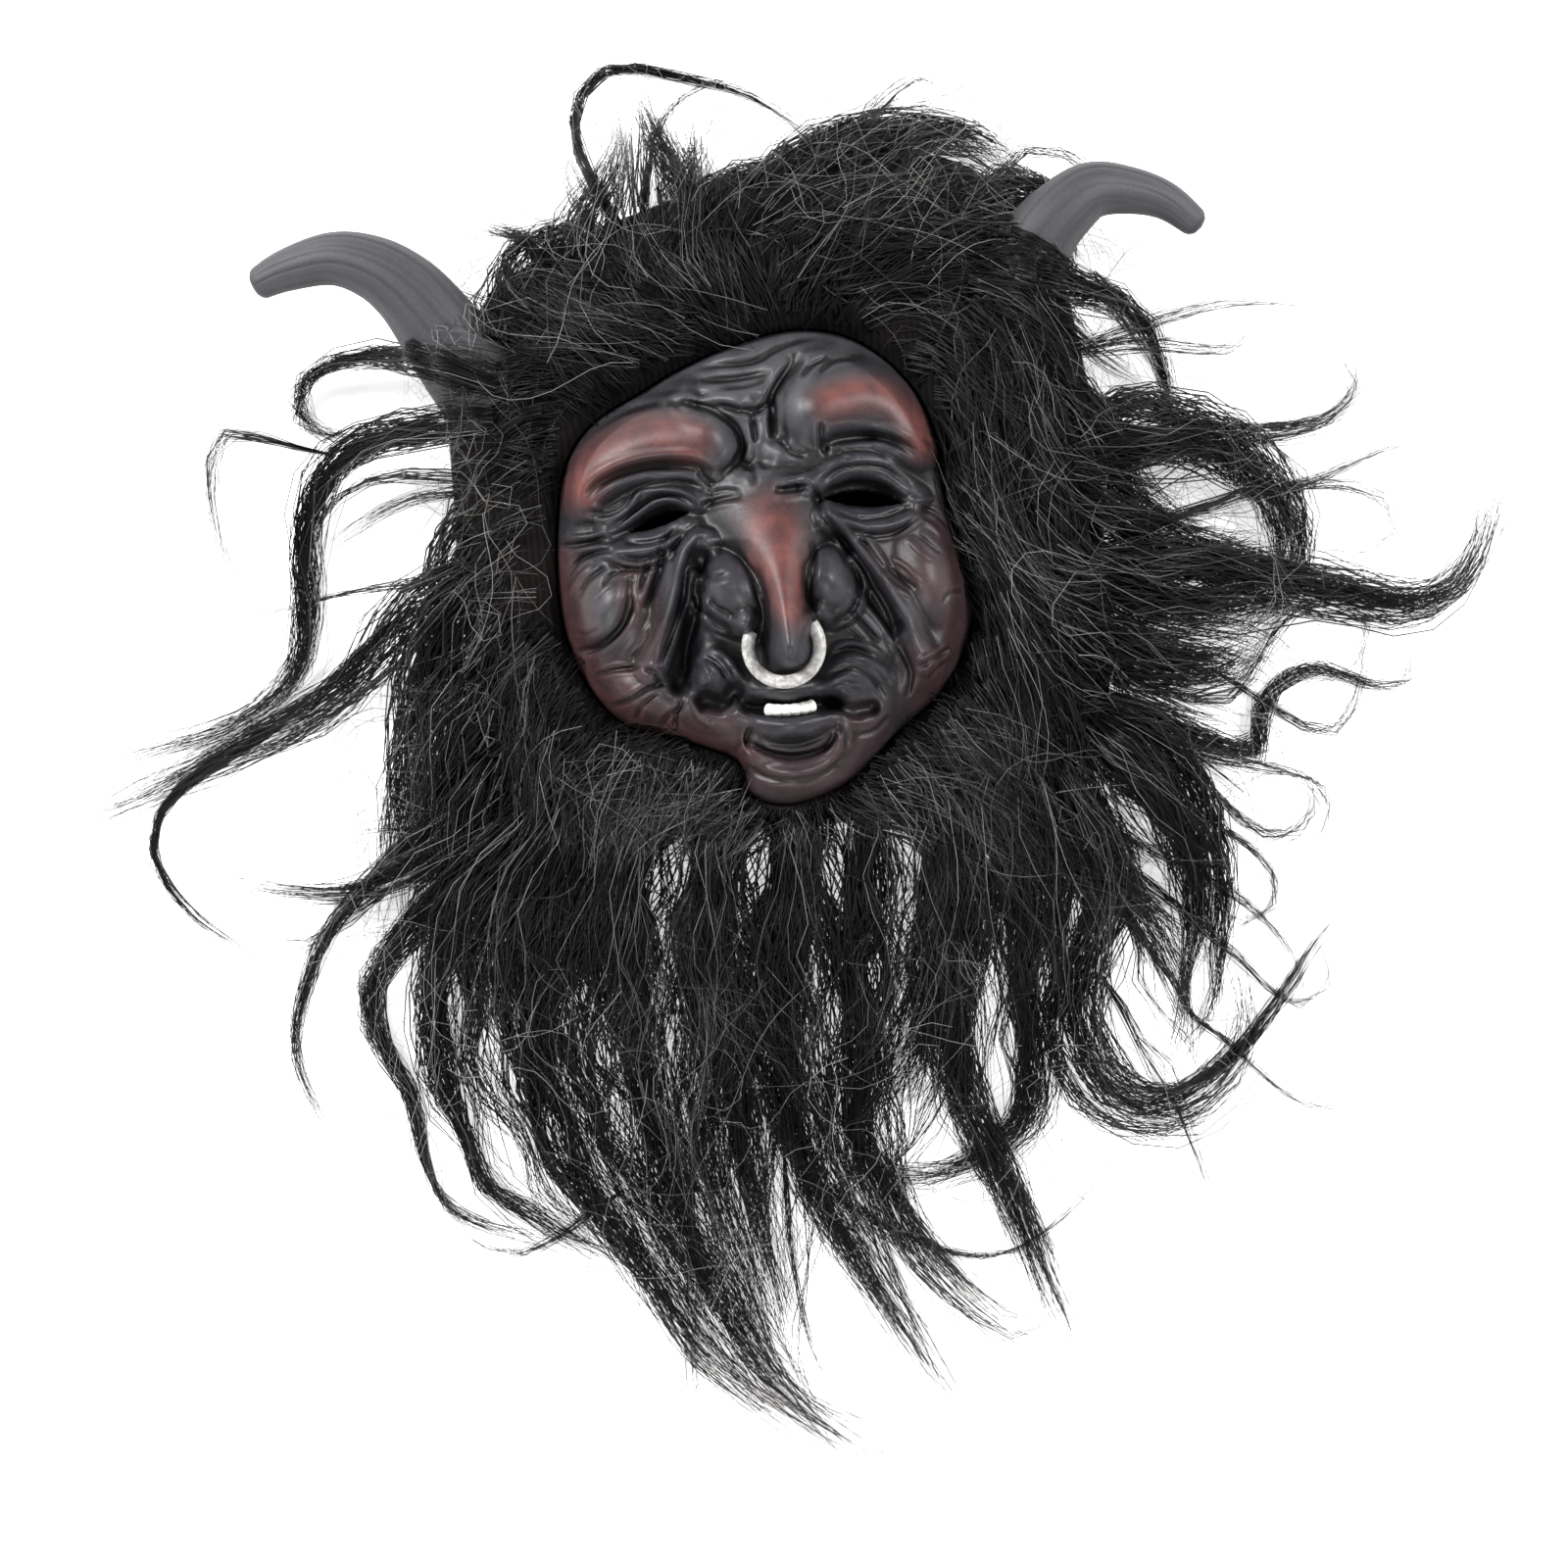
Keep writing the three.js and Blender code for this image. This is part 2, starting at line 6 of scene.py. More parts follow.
import bmesh
import bpy
import numpy as np
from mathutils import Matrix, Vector


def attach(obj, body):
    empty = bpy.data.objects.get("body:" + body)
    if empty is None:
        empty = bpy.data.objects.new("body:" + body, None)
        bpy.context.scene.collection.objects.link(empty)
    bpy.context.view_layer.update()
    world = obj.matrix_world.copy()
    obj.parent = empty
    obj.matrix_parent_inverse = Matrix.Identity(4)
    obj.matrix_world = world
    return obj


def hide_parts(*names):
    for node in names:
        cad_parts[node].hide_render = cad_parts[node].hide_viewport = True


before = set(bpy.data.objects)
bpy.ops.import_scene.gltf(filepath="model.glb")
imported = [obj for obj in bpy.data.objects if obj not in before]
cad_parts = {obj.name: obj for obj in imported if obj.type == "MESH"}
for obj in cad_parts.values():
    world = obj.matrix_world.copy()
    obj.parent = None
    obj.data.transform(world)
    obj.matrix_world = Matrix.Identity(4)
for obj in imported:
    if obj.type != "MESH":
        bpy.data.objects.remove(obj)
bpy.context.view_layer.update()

# The face
# A single skin of latex, cast in a plaster mould from a clay sculpture: every wrinkle was pressed in or
# built up with a rounded tool. It is 2.5 mm thick, and its turned-down edge is glued into the hood.

MM = 0.001
FACE_CENTRE = (-4.0, 8.0)
RIM_HEIGHT = 62.0
RIM_RISE = 6.0
FACE_BULGE = 32.0
COLLAR_DROP = 12.0
LATEX_WALL = 2.5
NOSE_HEIGHT = 38.0
NOSE_LEAN = 9.0
SKIN_CELLS = 216  # a little under 1 mm each
GROOVE_PRESS = 1.5


def curve_through(points, steps=12, closed=False):
    """A smooth line through a few points."""
    p = np.asarray(points, float)
    if closed:
        p = np.vstack([p[-1:], p, p[:2]])
    else:
        p = np.vstack([2 * p[:1] - p[1:2], p, 2 * p[-1:] - p[-2:-1]])
    a, b, c, d = (p[i : len(p) - 3 + i, None] for i in range(4))
    t = np.linspace(0, 1, steps, endpoint=False)[:, None]
    line = b + 0.5 * t * (c - a + t * (2 * a - 5 * b + 4 * c - d + t * (3 * b - a - 3 * c + d)))
    line = line.reshape(-1, p.shape[1])
    return line if closed else np.vstack([line, p[-2:-1]])


def outline(points):
    """Radius of a closed smooth line, seen from the middle of the face, by angle."""
    x, y = (curve_through(points, 30, closed=True) - FACE_CENTRE).T
    turn, radius = np.arctan2(y, x), np.hypot(x, y)
    order = np.argsort(turn)
    return lambda angle: np.interp(angle, turn[order], radius[order], period=2 * math.pi)


def mound(x, y, centre, reach, tilt, height, power=2.0):
    """A soft round swelling, or a hollow where its height is negative. A low power makes it a ball."""
    turn = math.radians(tilt)
    dx, dy = x - centre[0], y - centre[1]
    along = (dx * math.cos(turn) + dy * math.sin(turn)) / reach[0]
    across = (dy * math.cos(turn) - dx * math.sin(turn)) / reach[1]
    return height * np.clip(1 - along**2 - across**2, 0, 1) ** power


def beside(x, y, line):
    """How far each place lies from a line, how far along it that is (0 to 1), and on which side."""
    steps = np.hypot(*np.diff(line, axis=0).T)
    starts = np.concatenate([[0], np.cumsum(steps)])
    near = np.full(x.shape, 1e9)
    along = np.zeros(x.shape)
    side = np.zeros(x.shape)
    for (ax, ay), (bx, by), start, step in zip(line[:-1], line[1:], starts, steps):
        t = np.clip(((x - ax) * (bx - ax) + (y - ay) * (by - ay)) / step**2, 0, 1)
        gx, gy = x - ax - t * (bx - ax), y - ay - t * (by - ay)
        far = np.hypot(gx, gy)
        closer = far < near
        near = np.where(closer, far, near)
        along = np.where(closer, (start + t * step) / starts[-1], along)
        side = np.where(closer, np.sign((bx - ax) * gy - (by - ay) * gx), side)
    return near, along, side


def stroke(x, y, points, half_width, height, ends=0.0, steep=0.0):
    """A rolled ridge along a smooth line, or a sharp groove with raised lips where its height is negative.
    ends is the share of the line over which it dies away, and steep makes its left side the sharper."""
    line = curve_through(points, 6)
    reach = half_width * (1 + abs(steep)) * (2.2 if height < 0 else 1)
    low, high = line.min(0) - reach, line.max(0) + reach
    inside = (x > low[0]) & (x < high[0]) & (y > low[1]) & (y < high[1])
    near, along, side = beside(x[inside], y[inside], line)
    across = near / (half_width * (1 - steep * side))
    if height < 0:
        lips = np.clip(1 - ((across - 1.3) / 0.9) ** 2, 0, 1) ** 2
        shape = np.clip(1 - across**2, 0, 1) ** 2 - 0.22 * lips
    else:
        shape = np.clip(1 - across**2, 0, 1) ** 1.4
    if ends:
        shape = shape * np.clip(np.minimum(along, 1 - along) / ends, 0, 1) ** 0.7
    total = np.zeros(x.shape)
    total[inside] = height * shape
    return total


def nose(x, y):
    """The hooked nose over the plain of the face, from the brow down to the lip."""
    root, tip, lip = 46.0, -22.0, -42.0
    fall = np.clip((root - y) / (root - tip), 0, 1)
    rise = np.where(y > tip, fall * (1.2 - 0.2 * fall), 1 - np.clip((tip - y) / (tip - lip), 0, 1) ** 2.2)
    half_width = np.interp(y, [lip, tip, -8, 4, 18, 32, root], [13, 12, 13, 18, 28, 29, 18])
    across = (x - 3) / half_width
    return np.where((y < root) & (y > lip), NOSE_HEIGHT * rise * np.clip(1 - across**2, 0, 1) ** 1.4, 0)


# The big forms, which the solid has too: centre, reach, tilt in degrees, height
NOSTRILS = [((-16, -5), (22, 17), -52, 21), ((21, -5), (19, 14), -72, 20)]
SWELLINGS = [
    ((-50, 33), (34, 16), 8, -11), ((46, 31), (34, 16), -8, -11),  # eye sockets
    ((-14, -20), (9, 8), 0, 11), ((15, -20), (9, 8), 0, 11),  # where the ring's ends are let in
    ((-72, -5), (23, 28), 0, 13), ((67, -8), (18, 32), 8, 11),  # cheekbones
    ((-66, -42), (25, 16), -32, 8), ((62, -44), (20, 14), 35, 7),  # jowls
    ((-29, -38), (15, 14), 0, 8), ((28, -43), (19, 13), 8, 10),  # muzzle on both sides of the ring
    ((0, -48), (17, 7), 0, 5), ((0, -64), (19, 9), 0, 7),  # lips
    ((-1, -88), (23, 12), 0, 10),  # chin
]
# Points along it, half width, height
FOLDS = [
    ([(-76, 52), (-60, 61), (-42, 65), (-24, 62)], 20, 12),  # brow pads
    ([(28, 69), (44, 72), (58, 68), (67, 56)], 19, 12),
    ([(-68, 30), (-56, 36), (-42, 40), (-29, 36)], 7, 6),  # upper eyelids
    ([(21, 37), (38, 42), (52, 38), (65, 27)], 7, 6),
    ([(-68, 19), (-48, 20), (-34, 25)], 8, 4),  # bags under the eyes
    ([(26, 22), (42, 17), (60, 19)], 8, 4),
    ([(-28, 17), (-36, 11), (-42, 0), (-49, -16), (-57, -32)], 8, 7),  # folds beside the nose
    ([(27, 23), (36, 10), (45, -8), (53, -24), (59, -42)], 8, 7),
    ([(-34, 4), (-34, -6), (-29, -14), (-21, -20), (-14, -23)], 4.5, 6),  # nostril rims
    ([(34, 2), (36, -8), (31, -19), (22, -23)], 4.5, 4),
    ([(-21, -73), (-10, -81), (3, -83), (16, -79), (22, -69)], 5, 4),  # fold of the chin
]
CREASES = [
    ([(-32, 93), (-5, 91), (14, 97), (36, 101)], 8, -2.4),
    ([(-22, 85), (4, 85)], 7, -2),
    ([(1, 50), (1, 72)], 7, -3.5),
    ([(9, 58), (10, 76), (20, 90)], 6, -3),
    ([(-7, 50), (-9, 66), (-22, 77)], 7, -4.5),
    ([(-92, -20), (-74, -19), (-63, -8)], 7, -3),
    ([(-31, 10), (-36, -4), (-39, -20), (-44, -40)], 8, -7),
    ([(34, 12), (39, -8), (48, -26)], 8, -5),
    ([(-17, -53), (-8, -55), (0, -57), (9, -56), (18, -56)], 5.5, -8),
    ([(-35, -48), (-28, -50), (-23, -47)], 7, -8),
    ([(18, -57), (26, -60), (34, -60)], 5, -5),
]
# The fine wrinkles: points, half width, height, and how much sharper the left side is
WRINKLES = [
    # Forehead and frown
    ([(-28, 94), (-14, 93.5), (2, 93), (12, 97), (24, 100), (36, 101)], 2.6, -1.3, 0),
    ([(-21, 87), (-6, 86), (10, 86.5)], 2.2, -1.0, 0), ([(-14, 82.5), (-2, 82), (9, 84)], 2.0, -0.8, 0),
    ([(-22, 78), (-13, 74.5), (-1, 71), (5, 73), (12, 82), (21, 92)], 2.6, -1.8, 0),
    ([(-1, 71), (-1.2, 57)], 2.2, -1.7, 0), ([(8.5, 77), (7.4, 68), (6.6, 58)], 2.6, -2.4, 0),
    ([(21, 82), (27, 87.5), (35, 91)], 2.0, -1.0, 0), ([(29, 84), (37, 88.5), (46, 89)], 2.0, -0.9, 0),
    ([(-37, 79), (-26, 77), (-16, 72), (-9, 65), (-7, 57), (-10, 51), (-17, 45)], 2.8, -2.8, 0),
    ([(-34, 77), (-29, 73.5), (-24, 72)], 1.8, -1.0, 0),
    ([(-30, 76), (-24, 73.5), (-19, 70)], 1.8, -0.9, 0),
    ([(-86, 58), (-78, 67), (-66, 74), (-52, 78.5), (-37, 79)], 3.0, -1.6, 0),
    ([(10, 58), (13, 52), (20, 49)], 2.4, -1.2, 0), ([(-9, 51), (-4, 46), (-3, 39)], 2.4, -1.0, 0),
    ([(-27, 48), (-24, 44), (-20, 41)], 2.0, -1.4, 0),
    # Under the brow pads
    ([(-76, 42), (-70, 47), (-62, 50.5), (-50, 52.5), (-38, 52), (-28, 50), (-21, 45)], 3.4, -3.2, 0),
    ([(27, 50), (31, 54), (40, 55), (50, 54), (59, 50), (67, 44)], 3.2, -3.0, 0),
    ([(28, 62), (27, 54), (29, 48)], 2.2, -1.4, 0), ([(70, 52), (75, 46), (76, 38)], 2.6, -1.6, 0),
    # Nose root
    ([(4, 36), (11, 35.5), (20, 36)], 2.4, -2.6, 0), ([(8, 39), (14, 40), (20, 40)], 1.8, 1.4, 0),
    ([(-27, 33), (-18, 35), (-9, 35)], 2.0, -1.4, 0), ([(-24, 38), (-16, 38), (-9, 37)], 1.8, -0.9, 0),
    ([(20, 36), (22, 30), (24, 22), (28, 16)], 2.6, -2.0, 0),
    # Left eye
    ([(-66, 27), (-57, 32), (-47, 37), (-38, 37), (-30, 32)], 2.0, 2.0, 0.2),
    ([(-58, 37), (-52, 42), (-43, 42), (-34, 39.5), (-27, 33)], 1.9, 2.1, 0),
    ([(-63, 31), (-54, 36.5), (-44, 40), (-35, 38), (-28, 33)], 1.5, -1.6, 0),
    ([(-80, 36), (-70, 33), (-62, 34), (-56, 38), (-51, 44)], 2.0, 2.2, -0.2),
    ([(-76, 40), (-68, 37.5), (-62, 38.5), (-57, 42)], 1.8, 1.4, 0),
    ([(-48, 46), (-40, 47), (-30, 45), (-23, 40)], 2.0, 1.4, 0),
    ([(-63, 25.5), (-52, 25), (-42, 27), (-33, 30)], 1.7, 1.6, 0),
    ([(-62, 22), (-52, 20.5), (-42, 22), (-33, 26)], 2.0, -1.8, 0),
    ([(-66, 17), (-55, 14), (-44, 16), (-36, 21)], 1.9, -1.5, 0),
    ([(-72, 16), (-62, 11), (-52, 10), (-44, 13)], 1.9, -1.3, 0),
    # Crow's feet on the left
    ([(-93, 31), (-82, 28), (-72, 27.5), (-64, 28)], 1.7, 1.9, 0.2),
    ([(-92, 26), (-82, 24.5), (-70, 25)], 1.8, -1.7, 0),
    ([(-91, 19), (-84, 21.5), (-76, 22), (-67, 22)], 1.7, 1.7, 0.2),
    ([(-88, 12), (-82, 17.5), (-74, 19.5), (-66, 19)], 1.8, -1.7, 0),
    ([(-88, 3), (-84, 9.5), (-77, 15)], 1.7, 1.8, 0.2), ([(-84, 1), (-79, 8), (-70, 13)], 1.7, -1.4, 0),
    ([(-77, -1), (-72, 3), (-68, 5)], 1.4, 1.0, 0), ([(-73, 4), (-68, 9), (-60, 10)], 1.6, -1.1, 0),
    # Left cheek
    ([(-92, -20), (-80, -20.5), (-70, -16), (-64, -9), (-61, 1), (-60, 9)], 2.6, -2.4, 0),
    ([(-60, 5), (-62, -4), (-64, -12)], 1.5, 1.2, 0), ([(-55, -13), (-59, -20), (-66, -27)], 1.7, 1.7, 0.2),
    ([(-82, -32), (-72, -31), (-60, -31.5)], 1.7, -1.4, 0),
    ([(-60, -32), (-55, -35), (-54, -40)], 1.9, -1.7, 0),
    ([(-79, -45), (-69, -45), (-59, -41), (-50, -39)], 1.9, -1.5, 0),
    ([(-67, -53), (-62, -47), (-54, -43)], 1.6, -1.2, 0),
    ([(-58, -58), (-52, -53), (-45, -50)], 1.7, -1.3, 0),
    ([(-88, -12), (-82, -14), (-76, -13)], 1.5, -0.6, 0),
    ([(-50, -60), (-49, -54), (-44, -46)], 1.7, -1.2, 0),
    # The long folds between the left cheek and the nose
    ([(-22, 21.5), (-29, 20.5), (-35, 15), (-38.5, 8), (-41, 0), (-45, -9), (-50, -19),
        (-56, -27)], 2.3, 3.0, 0.35),
    ([(-32, 11), (-35, 2), (-38, -7), (-43, -17), (-48, -28), (-51, -35)], 2.1, 2.8, 0.3),
    ([(-36, 7), (-39, -3), (-43, -13), (-48, -23), (-53, -32)], 1.9, -2.2, 0),
    ([(-30, 5), (-32, -5), (-36, -15), (-41, -26), (-43, -38)], 2.6, -2.6, 0),
    ([(-45, 17), (-48, 8), (-52, 0), (-56, -8)], 2.2, -1.8, 0),
    ([(-52, 14), (-55, 6), (-58, 0)], 1.8, -1.2, 0),
    ([(-30, 26), (-38, 20), (-43, 11)], 2.0, -1.6, 0), ([(-38, 26), (-44, 21), (-48, 14)], 1.8, -1.2, 0),
    # Nose
    ([(-14, 14), (-10, 2), (-8, -8), (-5, -17)], 2.0, -1.3, 0),
    ([(-11, 8), (-7.5, -4), (-5, -14)], 1.4, 1.0, 0),
    ([(-27, 13), (-29, 6), (-26, 1), (-18, 2)], 2.4, -1.4, 0),
    ([(17, 14), (17.5, 4), (14.5, -6), (11.5, -15)], 2.2, -1.5, 0),
    ([(-34, 3), (-33, -8), (-26, -17), (-17, -22)], 2.6, -2.6, 0),
    ([(33, 2), (35, -8), (31, -18), (22, -23)], 2.4, -2.2, 0),
    ([(-31, -3), (-28, -11), (-20, -17)], 1.7, 1.2, 0),
    # Upper lip and the corners of the mouth
    ([(-31, -27), (-25, -31), (-21, -37), (-18, -44)], 1.7, 1.9, 0),
    ([(-34, -30), (-28, -35), (-24, -43)], 1.6, -1.5, 0),
    ([(-37, -30), (-33, -37), (-32, -44)], 1.7, 1.5, 0),
    ([(-22, -47), (-24, -52), (-29, -55)], 1.4, 1.6, 0),
    ([(-38, -44), (-33, -41), (-26, -41)], 1.6, 1.5, 0),
    ([(-41, -48), (-39, -55), (-34, -60)], 2.0, 1.5, 0),
    ([(20, -32.5), (28, -31.5), (36, -34), (43, -40)], 1.7, 1.9, 0.2),
    ([(20, -36), (29, -35), (37, -39)], 1.6, -1.6, 0),
    ([(19, -40), (29, -38.5), (39, -43), (46, -52)], 1.8, 1.9, 0),
    ([(18, -44), (28, -43), (36, -48), (41, -57)], 1.7, -1.6, 0),
    ([(14, -48), (24, -46.5), (34, -48)], 1.2, 1.2, 0), ([(16, -51), (25, -49.5), (33, -51)], 1.2, 1.2, 0),
    ([(15, -54), (23, -52.5), (30, -54)], 1.2, 1.1, 0), ([(-20, -50), (-14, -52), (-9, -53)], 1.4, 1.0, 0),
    ([(14, -61), (20, -61), (25, -65), (32, -67)], 1.6, 1.7, 0),
    ([(18, -65), (22, -71), (21, -77)], 1.8, -1.4, 0),
    ([(-17, -62), (-20, -67), (-19, -74)], 1.8, -1.6, 0), ([(26, -71), (34, -70), (42, -64)], 1.8, -1.0, 0),
    # Right eye
    ([(23, 33), (32, 37), (42, 38), (52, 35), (61, 28)], 1.9, 1.8, 0),
    ([(24, 37), (33, 41.5), (43, 42), (53, 39.5), (63, 31)], 1.7, -1.6, 0),
    ([(28, 44), (38, 47), (48, 46), (58, 41)], 1.9, 1.3, 0), ([(34, 49), (38, 46), (40, 42)], 1.3, 1.0, 0),
    ([(24, 28), (34, 24.5), (46, 23), (60, 24)], 1.7, 1.5, 0),
    ([(27, 24), (38, 19.5), (50, 19.5), (62, 23)], 1.8, -1.7, 0),
    ([(31, 19), (42, 15.5), (53, 16), (64, 21)], 1.6, 1.2, 0),
    ([(34, 15), (44, 12), (55, 13), (64, 18)], 1.7, -1.5, 0),
    ([(60, 27), (66, 25), (74, 26)], 1.5, 1.3, 0), ([(64, 17), (70, 13), (74, 8)], 1.6, 1.3, 0),
    ([(66, 22), (72, 19), (77, 12)], 1.5, -1.1, 0),
    # The long folds on the right, and the cheek beyond them
    ([(23, 27), (28, 19), (34, 11), (40, 1), (46, -9), (51, -19), (55, -30), (56, -42)], 2.4, 2.8, -0.3),
    ([(25, 20), (31, 11), (37, 1), (42, -9), (47, -20), (50, -31)], 2.3, -2.4, 0),
    ([(38, 12), (43, 3), (48, -6)], 1.7, -1.3, 0),
    ([(30, -10), (37, -18), (43, -27), (47, -38)], 2.0, 2.2, -0.2),
    ([(29, -17), (35, -25), (41, -33)], 1.8, -1.8, 0), ([(27, -22), (33, -29), (38, -34)], 1.6, 1.4, 0),
    ([(44, -4), (50, -11), (58, -17)], 1.5, 1.4, 0), ([(47, -1), (53, -7), (59, -13)], 1.5, -1.4, 0),
    ([(50, 2), (56, -3), (62, -12)], 1.5, 1.4, 0), ([(58, 9), (63, 2), (69, -3)], 1.5, 1.5, 0),
    ([(62, 11), (68, 5), (72, 1)], 1.4, -1.0, 0), ([(54, -46), (62, -43.5), (72, -38)], 2.0, -2.0, 0),
    ([(54, -44), (62, -41), (70, -37)], 1.4, 1.2, 0), ([(80, -15), (73, -16), (69, -21)], 1.6, -0.8, 0),
    ([(50, -36), (53, -47), (50, -58)], 2.0, -1.6, 0), ([(60, -52), (63, -47), (70, -44)], 1.6, -0.9, 0),
    # Chin
    ([(-21, -67), (-13, -73), (0, -77), (12, -75), (20, -68)], 2.0, -2.0, 0),
    ([(-21, -70), (-12, -76.5), (0, -80), (12, -78)], 1.5, 1.2, 0),
    ([(-21, -79), (-12, -84.5), (2, -87), (14, -84), (23, -76)], 2.0, -2.0, 0),
    ([(-20, -83), (-11, -88), (2, -90), (14, -87.5)], 1.4, 1.0, 0),
    ([(-15, -64), (-6, -67), (6, -67), (14, -63)], 1.6, 1.0, 0),
    ([(-12, -70), (0, -72.5), (12, -70)], 1.4, -0.9, 0),
]


def form(x, y):
    """The nose, pads and hollows over the plain of the face."""
    total = nose(x, y)
    for centre, reach, tilt, height in NOSTRILS:
        total = np.maximum(total, mound(x, y, centre, reach, tilt, height, 1.2))
    for centre, reach, tilt, height in SWELLINGS:
        total += mound(x, y, centre, reach, tilt, height)
    for points, half_width, height in FOLDS:
        total += stroke(x, y, points, half_width, height)
    for points, half_width, height in CREASES:
        total += stroke(x, y, points, half_width, height)
    return total


def wrinkled(x, y):
    """The fine wrinkles. A groove was pressed in half as deep again as it is listed."""
    return sum(
        stroke(x, y, points, half_width, height * (GROOVE_PRESS if height < 0 else 1), ends=0.22, steep=steep)
        for points, half_width, height, steep in WRINKLES)


# Clockwise from the middle of the forehead. The jaw steps in to the chin on the left.
face_radius = outline([
    (-4, 102), (22, 105), (46, 98), (66, 79), (76, 54), (79, 20), (85, -16), (77, -41), (64, -58),
    (46, -71), (22, -90), (-4, -97), (-21, -91), (-25, -76), (-46, -65), (-70, -55), (-84, -38),
    (-92, -15), (-93, 10), (-90, 36), (-83, 60), (-69, 76), (-46, 87), (-28, 95),
])

# The dome of the face, without the step in the jaw
dome_radius = outline([
    (-4, 102), (46, 97), (76, 60), (83, 0), (76, -40), (50, -72), (4, -94), (-42, -78), (-80, -44),
    (-93, 10), (-82, 62), (-46, 88),
])


def softened(grid, times):
    """Each value of a grid averaged with its neighbours a few times."""
    for _ in range(times):
        edge = np.pad(grid, 1, mode="edge")
        grid = (edge[2:, 1:-1] + edge[:-2, 1:-1] + edge[1:-1, 2:] + edge[1:-1, :-2]) / 4
    return grid


bm = bmesh.new()
bmesh.ops.create_grid(bm, x_segments=SKIN_CELLS, y_segments=SKIN_CELLS, size=1)
skin = bpy.data.meshes.new("face")
bm.to_mesh(skin)
bm.free()
spots = np.empty(len(skin.vertices) * 3, np.float32)
skin.vertices.foreach_get("co", spots)
a, b, _ = spots.reshape(-1, 3).T.astype(float)
side = SKIN_CELLS + 1
u, v = a * np.sqrt(1 - b * b / 2), b * np.sqrt(1 - a * a / 2)
reach, angle = np.clip(np.hypot(u, v), 0, 1), np.arctan2(v, u)
rim = face_radius(angle)
out = reach * (dome_radius(angle) * (1 - reach**4) + rim * reach**4)
x = FACE_CENTRE[0] + out * np.cos(angle)
y = FACE_CENTRE[1] + out * np.sin(angle)
fade = np.clip((1 - reach) * 9, 0, 1)
plain = RIM_HEIGHT + RIM_RISE * ((y - FACE_CENTRE[1]) / 100) ** 2 + FACE_BULGE * (1 - reach**2.6) ** 0.6
big = plain + fade * form(x, y)
height = big + fade * wrinkled(x, y)
lean = NOSE_LEAN * (nose(x, y) / NOSE_HEIGHT) ** 1.5

# What the paint follows: 0 in the depth of a wrinkle, 1 on its crest. It darkens the wrinkles with painted
# shade besides the black wash, and lightens the crests with painted highlight besides the dry brush.
square = height.reshape(side, side)
crest = np.clip(0.5 + (square - softened(square, 14)) / 1.9, 0, 1)


def lens(left, right, rise, drop):
    """An eye slot's outline: two arcs that meet in its corners."""
    t = np.linspace(0, 1, 40, endpoint=False)[:, None]
    low, high = np.array(left, float), np.array(right, float)
    middle = (low + high) / 2
    below = (1 - t) ** 2 * low + 2 * t * (1 - t) * (middle - (0, 2 * drop)) + t**2 * high
    above = (1 - t) ** 2 * high + 2 * t * (1 - t) * (middle + (0, 2 * rise)) + t**2 * low
    return np.vstack([below, above])


def within(x, y, loop):
    """Whether a place is inside a closed line."""
    odd = np.zeros(np.shape(x), bool)
    for (ax, ay), (bx, by) in zip(loop, np.roll(loop, -1, axis=0)):
        crosses = (ay > y) != (by > y)
        odd ^= crosses & (x < ax + (y - ay) * (bx - ax) / np.where(by == ay, 1e-9, by - ay))
    return odd


y -= lean
bm = bmesh.new()
bm.from_mesh(skin)
spot = bm.verts.layers.int.new("spot")
for vert in bm.verts:
    vert[spot] = vert.index
    vert.co = (x[vert.index], y[vert.index], height[vert.index])
# The slots are cut out, and what is left is trimmed to their outlines
EYE_SLOTS = [((-60, 26.5), (-32, 31.5), 4, 2), ((24, 30), (60, 25), 5.2, 2.4)]  # corners, rise, drop
for slot in (lens(*corners) for corners in EYE_SLOTS):
    middles = np.array([f.calc_center_median().xy for f in bm.faces])
    waste = {f for f, gone in zip(bm.faces, within(*middles.T, slot)) if gone}
    rims = {v for f in waste for v in f.verts if any(g not in waste for g in v.link_faces)}
    for vert in rims:
        nearest = slot[np.hypot(*(slot - vert.co.xy).T).argmin()]
        x[vert[spot]], y[vert[spot]] = vert.co.xy = nearest
    bmesh.ops.delete(bm, geom=list(waste), context="FACES")
    bm.to_mesh(skin)
    bm.free()
    bm = bmesh.new()
    bm.from_mesh(skin)
    spot = bm.verts.layers.int["spot"]
PAST_SLOTS = 70  # the eye slots lie nearer to the middle than this, and the face's edge doesn't
edge = [e for e in bm.edges if e.is_boundary and math.hypot(
    e.verts[0].co.x - FACE_CENTRE[0], e.verts[0].co.y - FACE_CENTRE[1]) > PAST_SLOTS]
collar = bmesh.ops.extrude_edge_only(bm, edges=edge)["geom"]
for vert in collar:
    if isinstance(vert, bmesh.types.BMVert):
        vert.co.z = RIM_HEIGHT - COLLAR_DROP
bmesh.ops.recalc_face_normals(bm, faces=bm.faces)
if sum(f.normal.z for f in bm.faces) < 0:
    bmesh.ops.reverse_faces(bm, faces=bm.faces)
shell = len(bm.verts)
bmesh.ops.solidify(bm, geom=list(bm.faces), thickness=LATEX_WALL)
bm.verts.ensure_lookup_table()

# The lining follows the big forms only, so the casting is thicker where its wrinkles stand out
hollow = square.copy()
for _ in range(3):
    wide = np.pad(hollow, 1, mode="edge")
    hollow = np.minimum.reduce([wide[i : i + side, j : j + side] for i in range(3) for j in range(3)])
hollow = softened(hollow, 4).ravel() - LATEX_WALL
inset = np.maximum(rim - LATEX_WALL, 0) / rim
for inner in bm.verts[shell:]:
    i = inner[spot]
    inner.co.xy = Vector(FACE_CENTRE).lerp((x[i], y[i]), inset[i])
    if inner.co.z > RIM_HEIGHT - COLLAR_DROP + 1:
        inner.co.z = hollow[i]


